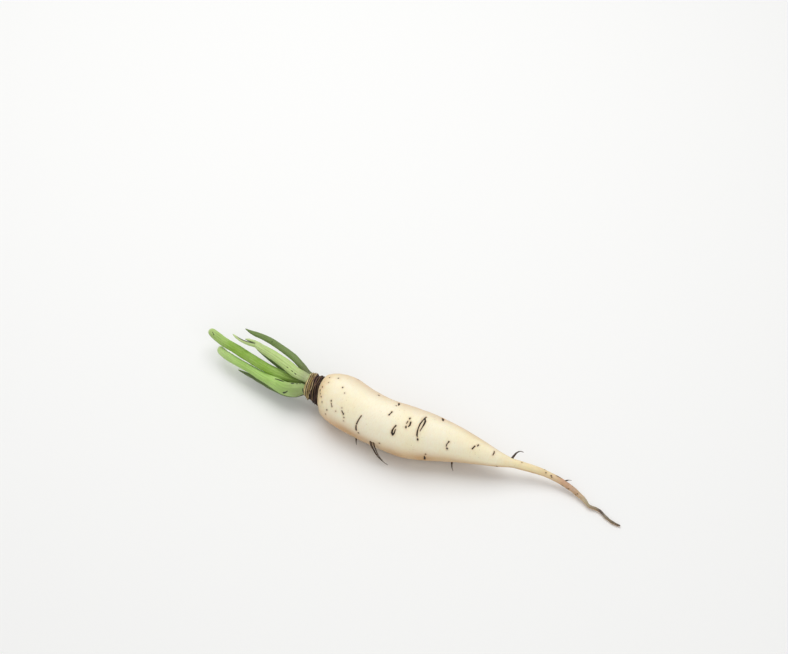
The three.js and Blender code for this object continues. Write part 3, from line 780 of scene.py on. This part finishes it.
class CrownShape:
    """The crown's axis and its rings of old leaf bases."""

    def __init__(self, root):
        settings = self.settings = bpy.context.scene.radish.crown
        centre, along, up, _ = (v[0] for v in root.line.frame(np.zeros(1), np.full(1, math.pi / 2)))
        self.foot = centre - CROWN_SUNK * along
        self.line = np.array([-settings.length / MM, *CROWN_TILT])
        self.top = self.foot + self.line
        self.away, self.up, self.side = -along, up, np.cross(up, along)
        self.radius, self.depth = settings.radius / MM, settings.ring_depth / MM
        chance = random.Random(5)
        self.waves = [
            [(n, wide * chance.uniform(0.5, 1.1), chance.uniform(0, math.tau)) for n, wide in WAVES]
            for _ in range(settings.rings + 1 + len(CROSSINGS))
        ]
        self.lifts = [chance.uniform(0.85, 1.3) for _ in range(settings.rings)]

    def wavy(self, middle, number, angle, wider=1.0):
        """A line round the crown that wanders about its place."""
        waves = self.waves[number]
        return middle + wider * sum(wide * np.sin(n * angle + turn) for n, wide, turn in waves)

    def relief(self, share, angle):
        """Height over the dips, the tone of the ring on top, darkened as painted shade on the
        crown's lower side, and how deep a place lies, as a mask for painted shade in the crevices.
        """
        rings = self.settings.rings
        borders = [self.wavy(k / rings, k, angle, float(0 < k < rings)) for k in range(rings + 1)]
        height, tone, crease = np.zeros_like(share), np.full_like(share, 0.04), np.ones_like(share)
        for k, (low, high) in enumerate(zip(borders, borders[1:])):
            across = np.clip(2 * (share - low) / (high - low) - 1, -1.2, 1.2)
            here = np.abs(across) <= 1
            bulge = self.lifts[k] * (1 + 0.14 * np.sin(7 * angle + 5 * k))
            shade = STRAND_TONES[k % len(STRAND_TONES)] + 0.1 * np.sin(angle + 2 * k)
            height = np.where(here, bulge * np.sqrt(np.clip(1 - across**2, 0, 1)), height)
            tone = np.where(here, shade, tone)
            # Painted shade in the crevices at each ring's borders
            crease = np.where(here, step(0.34, 0.7, np.abs(across)), crease)
        for k, (middle, half, shade) in enumerate(CROSSINGS):
            across = np.abs(share - self.wavy(middle, rings + 1 + k, angle, 3.4)) / half
            lift = np.where(across < 1, 1.1 + 0.5 * np.sqrt(np.clip(1 - across**2, 0, 1)), 0)
            height = np.maximum(height, lift)
            tone = np.where(across < 1, shade, tone)
            # Painted shade along the edges of each loose strand and on the rings beside it
            beside = np.maximum(crease, step(1.9, 1, across))
            crease = np.where(across < 1, step(0.6, 0.95, across), beside)
        # Painted shade: the rings are darker on the crown's lower side
        tone = tone - 0.3 * step(0.5, -0.3, np.sin(angle - math.radians(20)))
        return height * self.depth, tone, crease

    def surface(self, share, rim, angle, height=0.0):
        """Points round the crown's axis, with the rings' relief under the given height."""
        share = np.asarray(share, float)
        relief, _, _ = self.relief(share, angle)
        waist = self.radius * (1.02 - 0.13 * share) - self.depth
        wobble = 1 + 0.025 * np.sin(2 * angle + 9 * share) + 0.015 * np.sin(5 * angle - 14 * share)
        reach = (waist + relief + height) * wobble * rim
        centre = self.foot + self.line * share[..., None]
        centre = centre - self.away * (lean(angle) * (1 - share) * np.minimum(rim, 1))[..., None]
        side = self.side * (np.cos(angle) * reach)[..., None]
        return centre + side + self.up * (np.sin(angle) * reach)[..., None]


def crown_part(shape):
    """The crown's surface, with the knobs and furrows of its old leaf bases."""
    end = 1.03
    stops = [(0, 0), (0, 0.4), (0, 0.75)]
    stops += [(share, 1) for share in np.linspace(0, end, 96)]
    stops += [(end, rim) for rim in (0.95, 0.9, 0.84, 0.76, 0.66, 0.55, 0.42, 0.28, 0.14, 0)]
    tube = spun_tube(stops, CROWN_COLUMNS)
    flat_length, flat_radius = CROWN_FLAT

    def place(share, rim, angle):
        _, tone, crease = shape.relief(share, angle)
        fine = unbent(share * 22, flat_radius, angle)
        height = 0.1 * ripple(fine * (1, 0.3, 0.3), 0.9, 2.2) + 0.07 * ripple(fine, 1.3, 6.1)
        for middle, degrees, wide, tall in KNOBS:
            round_way = turned(angle, degrees) * shape.radius
            gap = np.hypot((share - middle) * flat_length, round_way) / wide
            height = height + tall * np.exp(-(gap**2))
        points = shape.surface(share, rim, angle, height)
        top = np.where(share > 0.5, 1, 0)
        lumps = 0.6 * step(1, 0.2, rim) + 0.5 * ripple(points, 2.4, 8.8) * step(1, 0.8, rim)
        points = points + shape.away * (lumps * top)[:, None]
        straight = unbent(share * flat_length, flat_radius * rim, angle)
        # Painted shade round both ends, where the crown meets the root and the stalks
        crease = np.maximum(crease, step(0.98, 0.8, rim) * 0.7)
        return points, {"straight": straight, "tone": tone, "crease": crease}

    return tube, place


def fibre_parts(shape):
    """Loose fibres wound part of the way round the crown, some with a lifted end."""
    chance = random.Random(23)
    parts = []
    for number in range(shape.settings.fibres):
        start, span = chance.uniform(0, math.tau), chance.uniform(0.9, 4.2)
        first, slant = chance.uniform(0.06, 0.98), chance.uniform(-0.16, 0.16)
        lifts = [chance.choice((0.0, 0.0, 0.0, 1.3)) for _ in range(2)]
        thick = chance.uniform(0.16, 0.34)
        t = np.linspace(0, 1, 5 + round(span * 5))
        share = np.clip(first + slant * t + 0.02 * np.sin(9 * t + start), 0.03, 1.0)
        lift = lifts[0] * (1 - t / 0.2).clip(0) ** 2 + lifts[1] * ((t - 0.8) / 0.2).clip(0) ** 2
        angle = start + span * t
        line = Line(shape.surface(share, 1.0, angle, 0.6 * thick + lift))
        tone = 0.12 + 0.85 * first**1.3 + chance.uniform(-0.15, 0.15)

        def taper(share, thick=thick):
            return thick * (0.35 + 0.65 * np.sin(math.pi * np.clip(share, 0.02, 0.98)) ** 0.5)

        parts.append(rod(line, taper, FIBRE_COLUMNS, 0.8, seed=number * 1.9, tone=tone))
    return parts


# Stalks


def between(values, share):
    """Width or thickness between the values given at even steps along a stalk."""
    values = np.asarray(values, float)
    place = np.clip(share, 0, 1) * (len(values) - 1)
    low = np.minimum(place.astype(int), len(values) - 2)
    part = place - low
    return values[low] + (values[low + 1] - values[low]) * (0.5 * step(0, 1, part) + 0.5 * part)


def stalk_part(plan, marks, seed, rib):
    """One stalk: ribbed outside, a channel along its inner side, its far end cut, torn or dry."""
    line, end, kind = Line(plan["points"]), ENDS[plan["end"]], plan["end"]
    blunt = end["blunt"] / line.length
    tipward = 1 - blunt * np.linspace(1, 0, 16)[1:] ** 1.6
    places = np.concatenate([np.linspace(0, 1 - blunt, round(line.length / 0.7)), tipward])
    tube = spun_tube(closed_row(places, (0, 0.3, 0.55, 0.75, 0.88, 0.95)), STALK_COLUMNS)
    wrap, channel = plan.get("wrap", 1 / 7), plan["channel"]

    def gaps(share, angle):
        return [gap_to(run, share * line.length, angle, STALK_ROUND) for run in marks]

    for margin in STALK_MARGINS if marks else ():
        refine(tube, lambda x, rim, angle: (rim > 0.9) & (np.min(gaps(x, angle), 0) < margin))

    def place(share, rim, angle):
        sine, cosine = np.sin(angle), np.cos(angle)
        inner = np.where(sine < 0, 1, 0)
        outer_end = np.where(share > 0.5, 1.0, 0.0)

        # The far end is a little jagged and slanted, and its middle has sunk in
        around = np.stack([2 * cosine, 2 * sine, np.full_like(share, seed)], -1)
        shorter = end["slant"] * (1 + sine) + end["jagged"] * (1 + ripple(around, 0.5))
        distance = share * line.length - step(1 - 2 * blunt, 1, share) * shorter
        distance = distance - (1 - rim) * outer_end * end["sunk"]
        centre, _, out, across = line.frame(distance, np.radians(between(plan["facing"], share)))

        # Low relief of the skin: swellings, ribs, the lips of the channel and sunk dashes
        hollow = np.exp(-((cosine / 0.5) ** 2))
        lip = 0.2 * np.exp(-(((np.abs(cosine) - 0.86) / 0.12) ** 2)) * inner
        grain = unbent(distance / 9, 1.3, angle)
        swell = 0.26 * ripple(grain, 1.0, seed) + 0.1 * ripple(grain * (4, 2, 2), 1.0, seed + 9)
        fade = step(0.02, 0.14, share) * step(1, 0.93, share)
        ribs = rib * np.cos(13 * angle + 0.8 * np.sin(distance / 14 + seed))
        skin = (swell + ribs * np.where(sine > -0.3, 1, 0.3) + lip - 0.1) * fade
        mark = np.zeros_like(share)
        for gap in gaps(share, angle):
            mark = np.maximum(mark, step(0.16, -0.1, gap) * np.where(rim > 0.9, 1, 0))
            skin = skin - 0.22 * step(0.3, -0.2, gap)

        # Width and thickness, rounded off towards the end
        bluntness = np.clip((share - 1 + blunt) / blunt, 0, 1)
        rounding = np.sqrt(1 - (1 - end["left"] ** 2) * bluntness**2.2)
        wide = (between(plan["width"], share) / 2 + skin) * cosine * rim * rounding
        inwards = between(plan["inner"], share) * (1 - channel * hollow)
        deep = np.where(sine > 0, between(plan["outer"], share), inwards)
        deep = (deep + skin) * sine * rim * rounding

        # The base is bent round the crown
        bend = wrap * (1 - step(0.02, 0.22, share))
        curved = bend > 1e-6
        safe = np.where(curved, bend, 1)
        turn, reach = wide * safe, 1 / safe + deep
        wide = np.where(curved, reach * np.sin(turn), wide)
        deep = np.where(curved, reach * np.cos(turn) - 1 / safe, deep)
        points = centre + across * wide[:, None] + out * deep[:, None]

        cut = outer_end * step(0.99, 0.93, rim) * (kind != "point")
        values = {
            "straight": unbent(distance, STALK_ROUND * rim, angle),
            "share": share,
            "mark": mark,
            "cut": np.maximum(cut, 0.75 * step(0.25, 1, bluntness) * (kind == "cut")),
            "pith": step(0.7, 0.2, rim) * cut,
            "groove": hollow * inner * fade,
        }
        return points, values

    return tube, place


def prong_parts():
    """The two prongs of the forked stalk, thin and dry at their tips, with painted shade on their
    inner sides, between them.
    """
    parts = []
    for number, ((radius, points), facing) in enumerate(zip(PRONGS, (45, 215))):

        def taper(share, radius=radius):
            root_end = 0.7 + 0.45 * step(0, 0.3, share)
            body = root_end * (1 - 0.15 * share - 0.4 * step(0.2, 1, share))
            return radius * body * np.sqrt(np.clip((1.002 - share) * 9, 0, 1))

        tube, place = rod(Line(points), taper, PRONG_COLUMNS, 0.5, roughness=0.08, seed=40 + number)

        def on_stalk(share, rim, angle, place=place, facing=facing):
            points, values = place(share, rim, angle)
            # Painted shade on the side of each prong that faces the other, laid in through the mark
            # attribute
            fork_shade = step(0.35, 0.8, np.cos(angle - math.radians(facing)))
            fork_shade = fork_shade * step(0.2, 0.36, share) * step(0.95, 0.7, share * (2 - number))
            values = {"straight": values["straight"] + (55, 0, 0), "share": 0.7 + 0.3 * share}
            values |= {key: np.zeros_like(share) for key in ("cut", "pith", "groove")}
            return points, values | {"mark": 0.95 * fork_shade}

        parts.append((tube, on_stalk))
    return parts


# Helpers for materials


def opaque(tint):
    return (*tuple(tint)[:3], 1.0)


class Nodes:
    """The nodes of a material or of a node group, added and linked by short calls."""

    def __init__(self, tree):
        self.tree = tree

    def add(self, kind, inputs=None, **settings):
        """Add a node, with its settings and with its sockets set or linked by name or number."""
        made = self.tree.nodes.new(kind)
        made.location = (180 * len(self.tree.nodes), 0)
        for key, value in settings.items():
            setattr(made, key, value)
        for key, value in (inputs or {}).items():
            if isinstance(value, bpy.types.NodeSocket):
                self.tree.links.new(value, made.inputs[key])
            else:
                made.inputs[key].default_value = value
        return made

    def math(self, operation, *values):
        return self.add("ShaderNodeMath", dict(enumerate(values)), operation=operation).outputs[0]

    def mix(self, factor, a, b):
        inputs = {0: factor, 6: a, 7: b}
        return self.add("ShaderNodeMix", inputs, data_type="RGBA").outputs[2]

    def spread(self, value, low, high, to_low=0.0, to_high=1.0):
        """Map a value from one range to another and hold it at the ends."""
        inputs = {"Value": value, 1: low, 2: high, 3: to_low, 4: to_high}
        return self.add("ShaderNodeMapRange", inputs).outputs["Result"]

    def clouds(self, position, scale, detail, **more):
        inputs = {"Vector": position, "Scale": scale, "Detail": detail, **more}
        return self.add("ShaderNodeTexNoise", inputs).outputs["Fac"]

    def attribute(self, name, output="Fac"):
        return self.add("ShaderNodeAttribute", attribute_name=name).outputs[output]

    def use(self, group, inputs):
        """Place a node group with its own values."""
        return self.add("ShaderNodeGroup", inputs, node_tree=group).outputs


def group(name, inputs, outputs, build):
    """A node group with named sockets, built once."""
    known = bpy.data.node_groups.get(name)
    if known:
        return known
    tree = bpy.data.node_groups.new(name, "ShaderNodeTree")
    for way, sockets in (("INPUT", inputs), ("OUTPUT", outputs)):
        for key, kind in sockets.items():
            tree.interface.new_socket(name=key, in_out=way, socket_type="NodeSocket" + kind)
    source, target = tree.nodes.new("NodeGroupInput"), tree.nodes.new("NodeGroupOutput")
    target.location = (3000, 0)
    for key, socket in build(Nodes(tree), source.outputs).items():
        tree.links.new(socket, target.inputs[key])
    return tree


def mottle_group():
    """Soft patches of a second colour."""

    def build(nodes, given):
        patch = nodes.spread(nodes.clouds(given["Position"], given["Size"], 4.0), 0.42, 0.66)
        factor = nodes.math("MULTIPLY", patch, given["Amount"])
        return {"Colour": nodes.mix(factor, given["Colour"], given["Patch"])}

    inputs = {"Position": "Vector", "Size": "Float", "Amount": "Float"}
    inputs |= {"Colour": "Color", "Patch": "Color"}
    return group("mottle", inputs, {"Colour": "Color"}, build)


def streak_group():
    """Fine lines that run along or round a piece, as a height and as a mask."""

    def build(nodes, given):
        lines = nodes.clouds(given["Position"], 1.0, 5.0, Roughness=0.62)
        fine = nodes.clouds(given["Position"], 3.7, 3.0)
        height = nodes.math("MULTIPLY_ADD", fine, 0.4, lines)
        return {"Height": height, "Mask": nodes.spread(lines, 0.45, 0.68)}

    return group("streaks", {"Position": "Vector"}, {"Height": "Float", "Mask": "Float"}, build)


def pore_group():
    """Pinhole pores scattered over a skin, as a mask."""

    def build(nodes, given):
        inputs = {"Vector": given["Position"], "Scale": given["Size"], "Randomness": 1.0}
        cells = nodes.add("ShaderNodeTexVoronoi", inputs).outputs["Distance"]
        few = nodes.spread(nodes.clouds(given["Position"], 60.0, 1.0), 0.5, 0.62)
        return {"Mask": nodes.math("MULTIPLY", nodes.spread(cells, 0.2, 0.06), few)}

    return group("pores", {"Position": "Vector", "Size": "Float"}, {"Mask": "Float"}, build)


class Finish(Nodes):
    """A material whose colour is laid in coats, one over the other."""

    def __init__(self, name):
        self.material = bpy.data.materials.new(name)
        self.material.use_nodes = True
        super().__init__(self.material.node_tree)
        self.here = self.add("ShaderNodeTexCoord").outputs["Object"]
        self.straight = self.attribute("straight", "Vector")

    def ground(self, factor, stops):
        """Begin with a colour ramp through (place, colour) stops."""
        made = self.add("ShaderNodeValToRGB", {"Fac": factor})
        elements = made.color_ramp.elements
        while len(elements) < len(stops):
            elements.new(0.5)
        for element, (place, tint) in zip(elements, stops):
            element.position = place
            element.color = opaque(tint)
        self.colour = made.outputs["Color"]

    def coat(self, mask, amount, tint):
        """Lay a tint over the colour so far, as strongly as the mask and the amount say."""
        factor = self.math("MULTIPLY", mask, amount)
        self.colour = self.mix(factor, self.colour, opaque(tint))

    def mottle(self, size, amount, tint):
        inputs = {"Position": self.here, "Size": size, "Amount": amount}
        inputs |= {"Colour": self.colour, "Patch": opaque(tint)}
        self.colour = self.use(mottle_group(), inputs)["Colour"]

    def pores(self, size):
        return self.use(pore_group(), {"Position": self.here, "Size": size})["Mask"]

    def streaks(self, scale):
        """Lines that are the longer along an axis of the unbent piece, the smaller its scale is."""
        inputs = {0: self.straight, 1: scale}
        position = self.add("ShaderNodeVectorMath", inputs, operation="MULTIPLY").outputs[0]
        return self.use(streak_group(), {"Position": position})

    def done(self, roughness, height, distance, constants):
        """Wire colour, roughness and relief to the shader and set its constants."""
        shader = self.tree.nodes["Principled BSDF"]
        inputs = {"Height": height, "Distance": distance, "Strength": 1.0}
        bump = self.add("ShaderNodeBump", inputs).outputs["Normal"]
        links = {"Base Color": self.colour, "Roughness": roughness, "Normal": bump}
        for key, socket in links.items():
            self.tree.links.new(socket, shader.inputs[key])
        for key, value in constants.items():
            shader.inputs[key].default_value = value
        return self.material


# What stays the same all over a piece: light passes a little way into root and stalks
SOFT_SKIN = {
    "Subsurface Weight": 0.18,
    "Subsurface Radius": (1.0, 0.7, 0.4),
    "Subsurface Scale": 0.003,
    "Specular IOR Level": 0.4,
}
SOFT_GREEN = {
    "Subsurface Weight": 0.12,
    "Subsurface Radius": (0.5, 1.0, 0.25),
    "Subsurface Scale": 0.0022,
    "Specular IOR Level": 0.4,
}
DRY = {"Specular IOR Level": 0.3}


def root_material(settings):
    """Cream skin that turns olive, then peach, then bark brown down the tail."""
    skin = Finish("root_skin")
    warp = skin.clouds(skin.here, 240.0, 3.0)
    along = skin.add("ShaderNodeSeparateXYZ", {0: skin.straight}).outputs["X"]
    sway = skin.math("MULTIPLY", skin.math("SUBTRACT", warp, 0.5), 16.0)
    stops = [
        (0.0, (0.88, 0.76, 0.47)),
        (0.06, settings.cream),
        (0.56, settings.cream),
        (0.68, (0.86, 0.71, 0.41)),
        (0.74, (0.76, 0.60, 0.35)),
        (0.785, (0.56, 0.34, 0.205)),
        (0.845, (0.38, 0.225, 0.15)),
        (0.88, (0.15, 0.11, 0.09)),
        (0.94, (0.07, 0.056, 0.048)),
        (1.0, settings.bark),
    ]
    skin.ground(skin.spread(skin.math("ADD", along, sway), 0, ROOT_REACH), stops)
    skin.mottle(32.0, 0.42, settings.butter)
    skin.mottle(190.0, 0.1, (0.95, 0.9, 0.8))
    streaks = skin.streaks((1.5, 0.3, 0.3))
    skin.coat(streaks["Mask"], 0.16, settings.blush)
    # Tan staining with painted shade, strongest along the lower near flank
    skin.coat(skin.attribute("stain"), 0.95, settings.stain)
    # Peach at the shoulder, with painted shade on the lower flank near it
    skin.coat(skin.attribute("blush"), 0.5, settings.blush)
    pores = skin.pores(420.0)
    skin.coat(pores, 0.35, (0.42, 0.26, 0.13))
    skin.coat(skin.attribute("halo"), 0.62, (0.45, 0.25, 0.11))
    mark = skin.attribute("mark")
    skin.coat(mark, 1.0, settings.mark)
    rough = skin.spread(warp, 0.3, 0.7, 0.4, 0.56)
    rough = skin.math("ADD", rough, skin.math("MULTIPLY", mark, 0.3))
    height = skin.math("ADD", streaks["Height"], skin.math("MULTIPLY", pores, -0.7))
    return skin.done(rough, height, 0.00028, SOFT_SKIN)


def side_root_material(settings):
    """Dry brown thread, paler where it leaves the skin."""
    thread = Finish("side_root")
    stops = [
        (0.0, (0.3, 0.19, 0.11)),
        (0.18, (0.09, 0.055, 0.035)),
        (0.4, settings.bark),
        (1.0, (0.05, 0.035, 0.028)),
    ]
    thread.ground(thread.attribute("share"), stops)
    streaks = thread.streaks((0.35, 4.0, 4.0))
    thread.coat(streaks["Mask"], 0.5, (0.26, 0.18, 0.11))
    thread.mottle(300.0, 0.5, (0.03, 0.02, 0.012))
    rough = thread.spread(streaks["Mask"], 0, 1, 0.6, 0.85)
    return thread.done(rough, streaks["Height"], 0.0002, DRY)


def crown_material(settings, name, scale):
    """Old leaf bases: straw beside the stalks, then husk brown, nearly black beside the root."""
    husk = Finish(name)
    stops = [
        (0.0, settings.pitch),
        (0.2, (0.05, 0.022, 0.018)),
        (0.36, (0.17, 0.09, 0.07)),
        (0.52, settings.husk),
        (0.7, (0.38, 0.27, 0.06)),
        (0.86, (0.62, 0.46, 0.27)),
        (1.0, settings.straw),
    ]
    husk.ground(husk.attribute("tone"), stops)
    streaks = husk.streaks(scale)
    husk.coat(streaks["Mask"], 0.45, (0.03, 0.014, 0.01))
    husk.mottle(420.0, 0.2, (0.3, 0.2, 0.1))
    # Near-black painted shade in the crevices between the rings, beside the loose strands and round
    # the ends
    husk.coat(husk.attribute("crease"), 1.0, (0.006, 0.003, 0.002))
    rough = husk.spread(streaks["Mask"], 0, 1, 0.66, 0.9)
    return husk.done(rough, streaks["Height"], 0.00035, DRY)


def stalk_material(name, tint, cut, pointed):
    """Green stalk: duller at its base, partly its own olive and partly painted shade where the
    stalks crowd at the crown, paler towards its end, streaked along its length.
    """
    green = Finish(name)
    tint, cut = np.array(tint), np.array(cut)
    dull_and_shaded = tint * (0.66, 0.6, 0.8) + (0.035, 0.015, 0.02)
    paler = 0.08 if pointed else 0.38
    pale = tint * (1 - paler) + cut * paler
    # Olive base, darkened as painted shade near the crown, then the stalk's own tint
    stops = [(0.0, dull_and_shaded), (0.1, dull_and_shaded), (0.3, tint), (0.72, tint), (0.95, pale), (1.0, pale)]
    green.ground(green.attribute("share"), stops)
    streaks = green.streaks((0.09, 1.6, 1.6))
    green.coat(streaks["Mask"], 0.4, tint * 0.62)
    green.mottle(85.0, 0.3, pale)
    green.coat(green.attribute("groove"), 0.3, pale)
    green.coat(green.pores(520.0), 0.4, dull_and_shaded * 0.5)
    # Dark dashes, and the painted shade between the prongs of the torn stalk
    green.coat(green.attribute("mark"), 0.95, (0.012, 0.018, 0.006))
    green.coat(green.attribute("cut"), 1.0, cut)
    green.coat(green.attribute("pith"), 0.55, (0.3, 0.34, 0.14))
    rough = green.spread(streaks["Mask"], 0, 1, 0.38, 0.55)
    return green.done(rough, streaks["Height"], 0.0003, SOFT_GREEN)


# Operators


class RADISH_OT_root(bpy.types.Operator):
    """Make the root with its tail, marks, stains and painted shade"""

    bl_idname = "radish.add_root"
    bl_label = "Root"

    def execute(self, context):
        shape = RootShape()
        marks, pores = hidden_marks()
        marks = SKIN_MARKS + marks + [[pore] for pore in SKIN_PORES + pores]
        tube = spun_tube(root_stops(shape), shape.settings.columns)
        for margin in ROOT_MARGINS:

            def near(distance, rim, angle, margin=margin):
                chosen = np.zeros(len(distance), bool)
                for run in marks:
                    chosen |= shape.gap(run, distance, angle) < margin
                for scar in SCARS:
                    chosen |= scar_gap(shape, scar, distance, angle) < 1.1
                return chosen & (rim > 0.9)

            refine(tube, near)
        mesh = mesh_of("root_skin", [(tube, place_root(shape, marks))])
        show("root_skin", mesh, root_material(shape.settings), "root_skin", "root")
        return {"FINISHED"}


class RADISH_OT_side_roots(bpy.types.Operator):
    """Make the thin side roots on both sides of the root"""

    bl_idname = "radish.add_side_roots"
    bl_label = "Side roots"

    def execute(self, context):
        shape = RootShape()
        mesh = mesh_of("side_roots", side_root_parts(shape))
        show("side_roots", mesh, side_root_material(shape.settings), "root_skin", "root")
        return {"FINISHED"}


class RADISH_OT_crown(bpy.types.Operator):
    """Make the ringed crown and the loose fibres round it"""

    bl_idname = "radish.add_crown"
    bl_label = "Crown"

    def execute(self, context):
        shape = CrownShape(RootShape())
        pieces = (
            ("crown_rings", [crown_part(shape)], "crown_husk", (2.4, 0.35, 0.35)),
            ("crown_fibres", fibre_parts(shape), "crown_fibre", (0.4, 5.0, 5.0)),
        )
        for name, parts, finish, scale in pieces:
            material = crown_material(shape.settings, finish, scale)
            show(name, mesh_of(name, parts), material, "crown", "crown_collar")
        return {"FINISHED"}


class RADISH_OT_stalks(bpy.types.Operator):
    """Make the six leaf stalks, cut, torn or dried at their ends"""

    bl_idname = "radish.add_stalks"
    bl_label = "Leaf stalks"

    slots = {
        "stalk_front": "stalk_light",
        "stalk_long": "stalk_bright",
        "stalk_forked": "stalk_pale",
        "stalk_pointed": "stalk_olive",
        "stalk_under": "stalk_dark",
        "stalk_behind": "stalk_dark",
    }

    def execute(self, context):
        settings = context.scene.radish.stalks
        crown = CrownShape(RootShape())
        base = crown.top - STALKS_SUNK * crown.away
        for number, (name, plan) in enumerate(STALKS.items()):
            marks = STALK_MARKS.get(name, [])
            parts = [stalk_part(plan, marks, 3.0 + 7 * number, settings.rib_height / MM)]
            if plan["end"] == "torn":
                parts += prong_parts()
            piece = name + "_skin"
            mesh = mesh_of(piece, parts, trim=(base, crown.away))
            tint = getattr(settings, name.split("_")[1])
            material = stalk_material(piece, tint, settings.cut, plan["end"] == "point")
            show(piece, mesh, material, self.slots[name], name)
        return {"FINISHED"}


class RADISH_OT_stage(bpy.types.Operator):
    """Make the floor, the soft light and the camera"""

    bl_idname = "radish.add_stage"
    bl_label = "Stage"

    def execute(self, context):
        scene, settings = context.scene, context.scene.radish.stage
        ground = bmesh.new()
        bmesh.ops.create_grid(ground, x_segments=1, y_segments=1, size=settings.floor_size / 2)
        mesh = bpy.data.meshes.new("floor")
        ground.to_mesh(mesh)
        ground.free()
        paper = bpy.data.materials.new("floor_paper")
        paper.use_nodes = True
        sockets = paper.node_tree.nodes["Principled BSDF"].inputs
        sockets["Base Color"].default_value = opaque(settings.floor)
        sockets["Roughness"].default_value = 0.9
        sockets["Specular IOR Level"].default_value = 0.1
        mesh.materials.append(paper)
        floor = bpy.data.objects.new("floor", mesh)
        scene.collection.objects.link(floor)

        scene.world = bpy.data.worlds.new("soft_sky")
        scene.world.use_nodes = True
        sockets = scene.world.node_tree.nodes["Background"].inputs
        sockets["Color"].default_value = (1, 1, 1, 1)
        sockets["Strength"].default_value = settings.sky
        self.add_lamp(scene, "key", settings.key_power)
        self.add_lamp(scene, "fill", settings.fill_power)
        scene.view_settings.view_transform = "Standard"

        turn, rise = settings.azimuth, settings.elevation
        flat = math.cos(rise)
        back = Vector((math.sin(turn) * flat, -math.cos(turn) * flat, math.sin(rise)))
        right = Vector((math.cos(turn), math.sin(turn), 0))
        camera = bpy.data.objects.new("camera", bpy.data.cameras.new("camera"))
        camera.data.lens, camera.data.sensor_width, camera.data.clip_end = LENS, SENSOR, 50
        axes = Matrix((right, back.cross(right), back)).transposed().to_4x4()
        camera.matrix_world = Matrix.Translation(Vector(AIM) + back * settings.distance) @ axes
        scene.collection.objects.link(camera)
        scene.camera = camera
        return {"FINISHED"}

    def add_lamp(self, scene, name, power):
        """A square soft light that looks at the middle of the radish."""
        light = bpy.data.lights.new(name, "AREA")
        light.energy, (light.size, place) = power, LAMPS[name]
        lamp = bpy.data.objects.new(name, light)
        lamp.location = place
        lamp.rotation_mode = "QUATERNION"
        lamp.rotation_quaternion = Vector(place).to_track_quat("Z", "Y")
        scene.collection.objects.link(lamp)


class RADISH_PT_sidebar(bpy.types.Panel):
    """Lists the pieces and their sizes and colours"""

    bl_idname = "RADISH_PT_sidebar"
    bl_label = "White radish"
    bl_space_type = "VIEW_3D"
    bl_region_type = "UI"
    bl_category = "Radish"

    def draw(self, context):
        settings = context.scene.radish
        for operator, part in PANEL_ROWS:
            box = self.layout.box()
            box.operator(operator.bl_idname)
            if part:
                sizes = getattr(settings, part)
                for key in sizes.__annotations__:
                    box.prop(sizes, key)


PANEL_ROWS = [
    (RADISH_OT_root, "root"),
    (RADISH_OT_side_roots, None),
    (RADISH_OT_crown, "crown"),
    (RADISH_OT_stalks, "stalks"),
    (RADISH_OT_stage, "stage"),
]

CLASSES = [
    RootSettings,
    CrownSettings,
    StalkSettings,
    StageSettings,
    RadishSettings,
    *(operator for operator, _ in PANEL_ROWS),
    RADISH_PT_sidebar,
]


def register():
    for each in CLASSES:
        bpy.utils.register_class(each)
    bpy.types.Scene.radish = PointerProperty(type=RadishSettings)


def unregister():
    del bpy.types.Scene.radish
    for each in reversed(CLASSES):
        bpy.utils.unregister_class(each)


def main():
    register()
    bpy.ops.radish.add_stage()
    bpy.ops.radish.add_root()
    bpy.ops.radish.add_side_roots()
    bpy.ops.radish.add_crown()
    bpy.ops.radish.add_stalks()


if __name__ == "__main__":
    main()
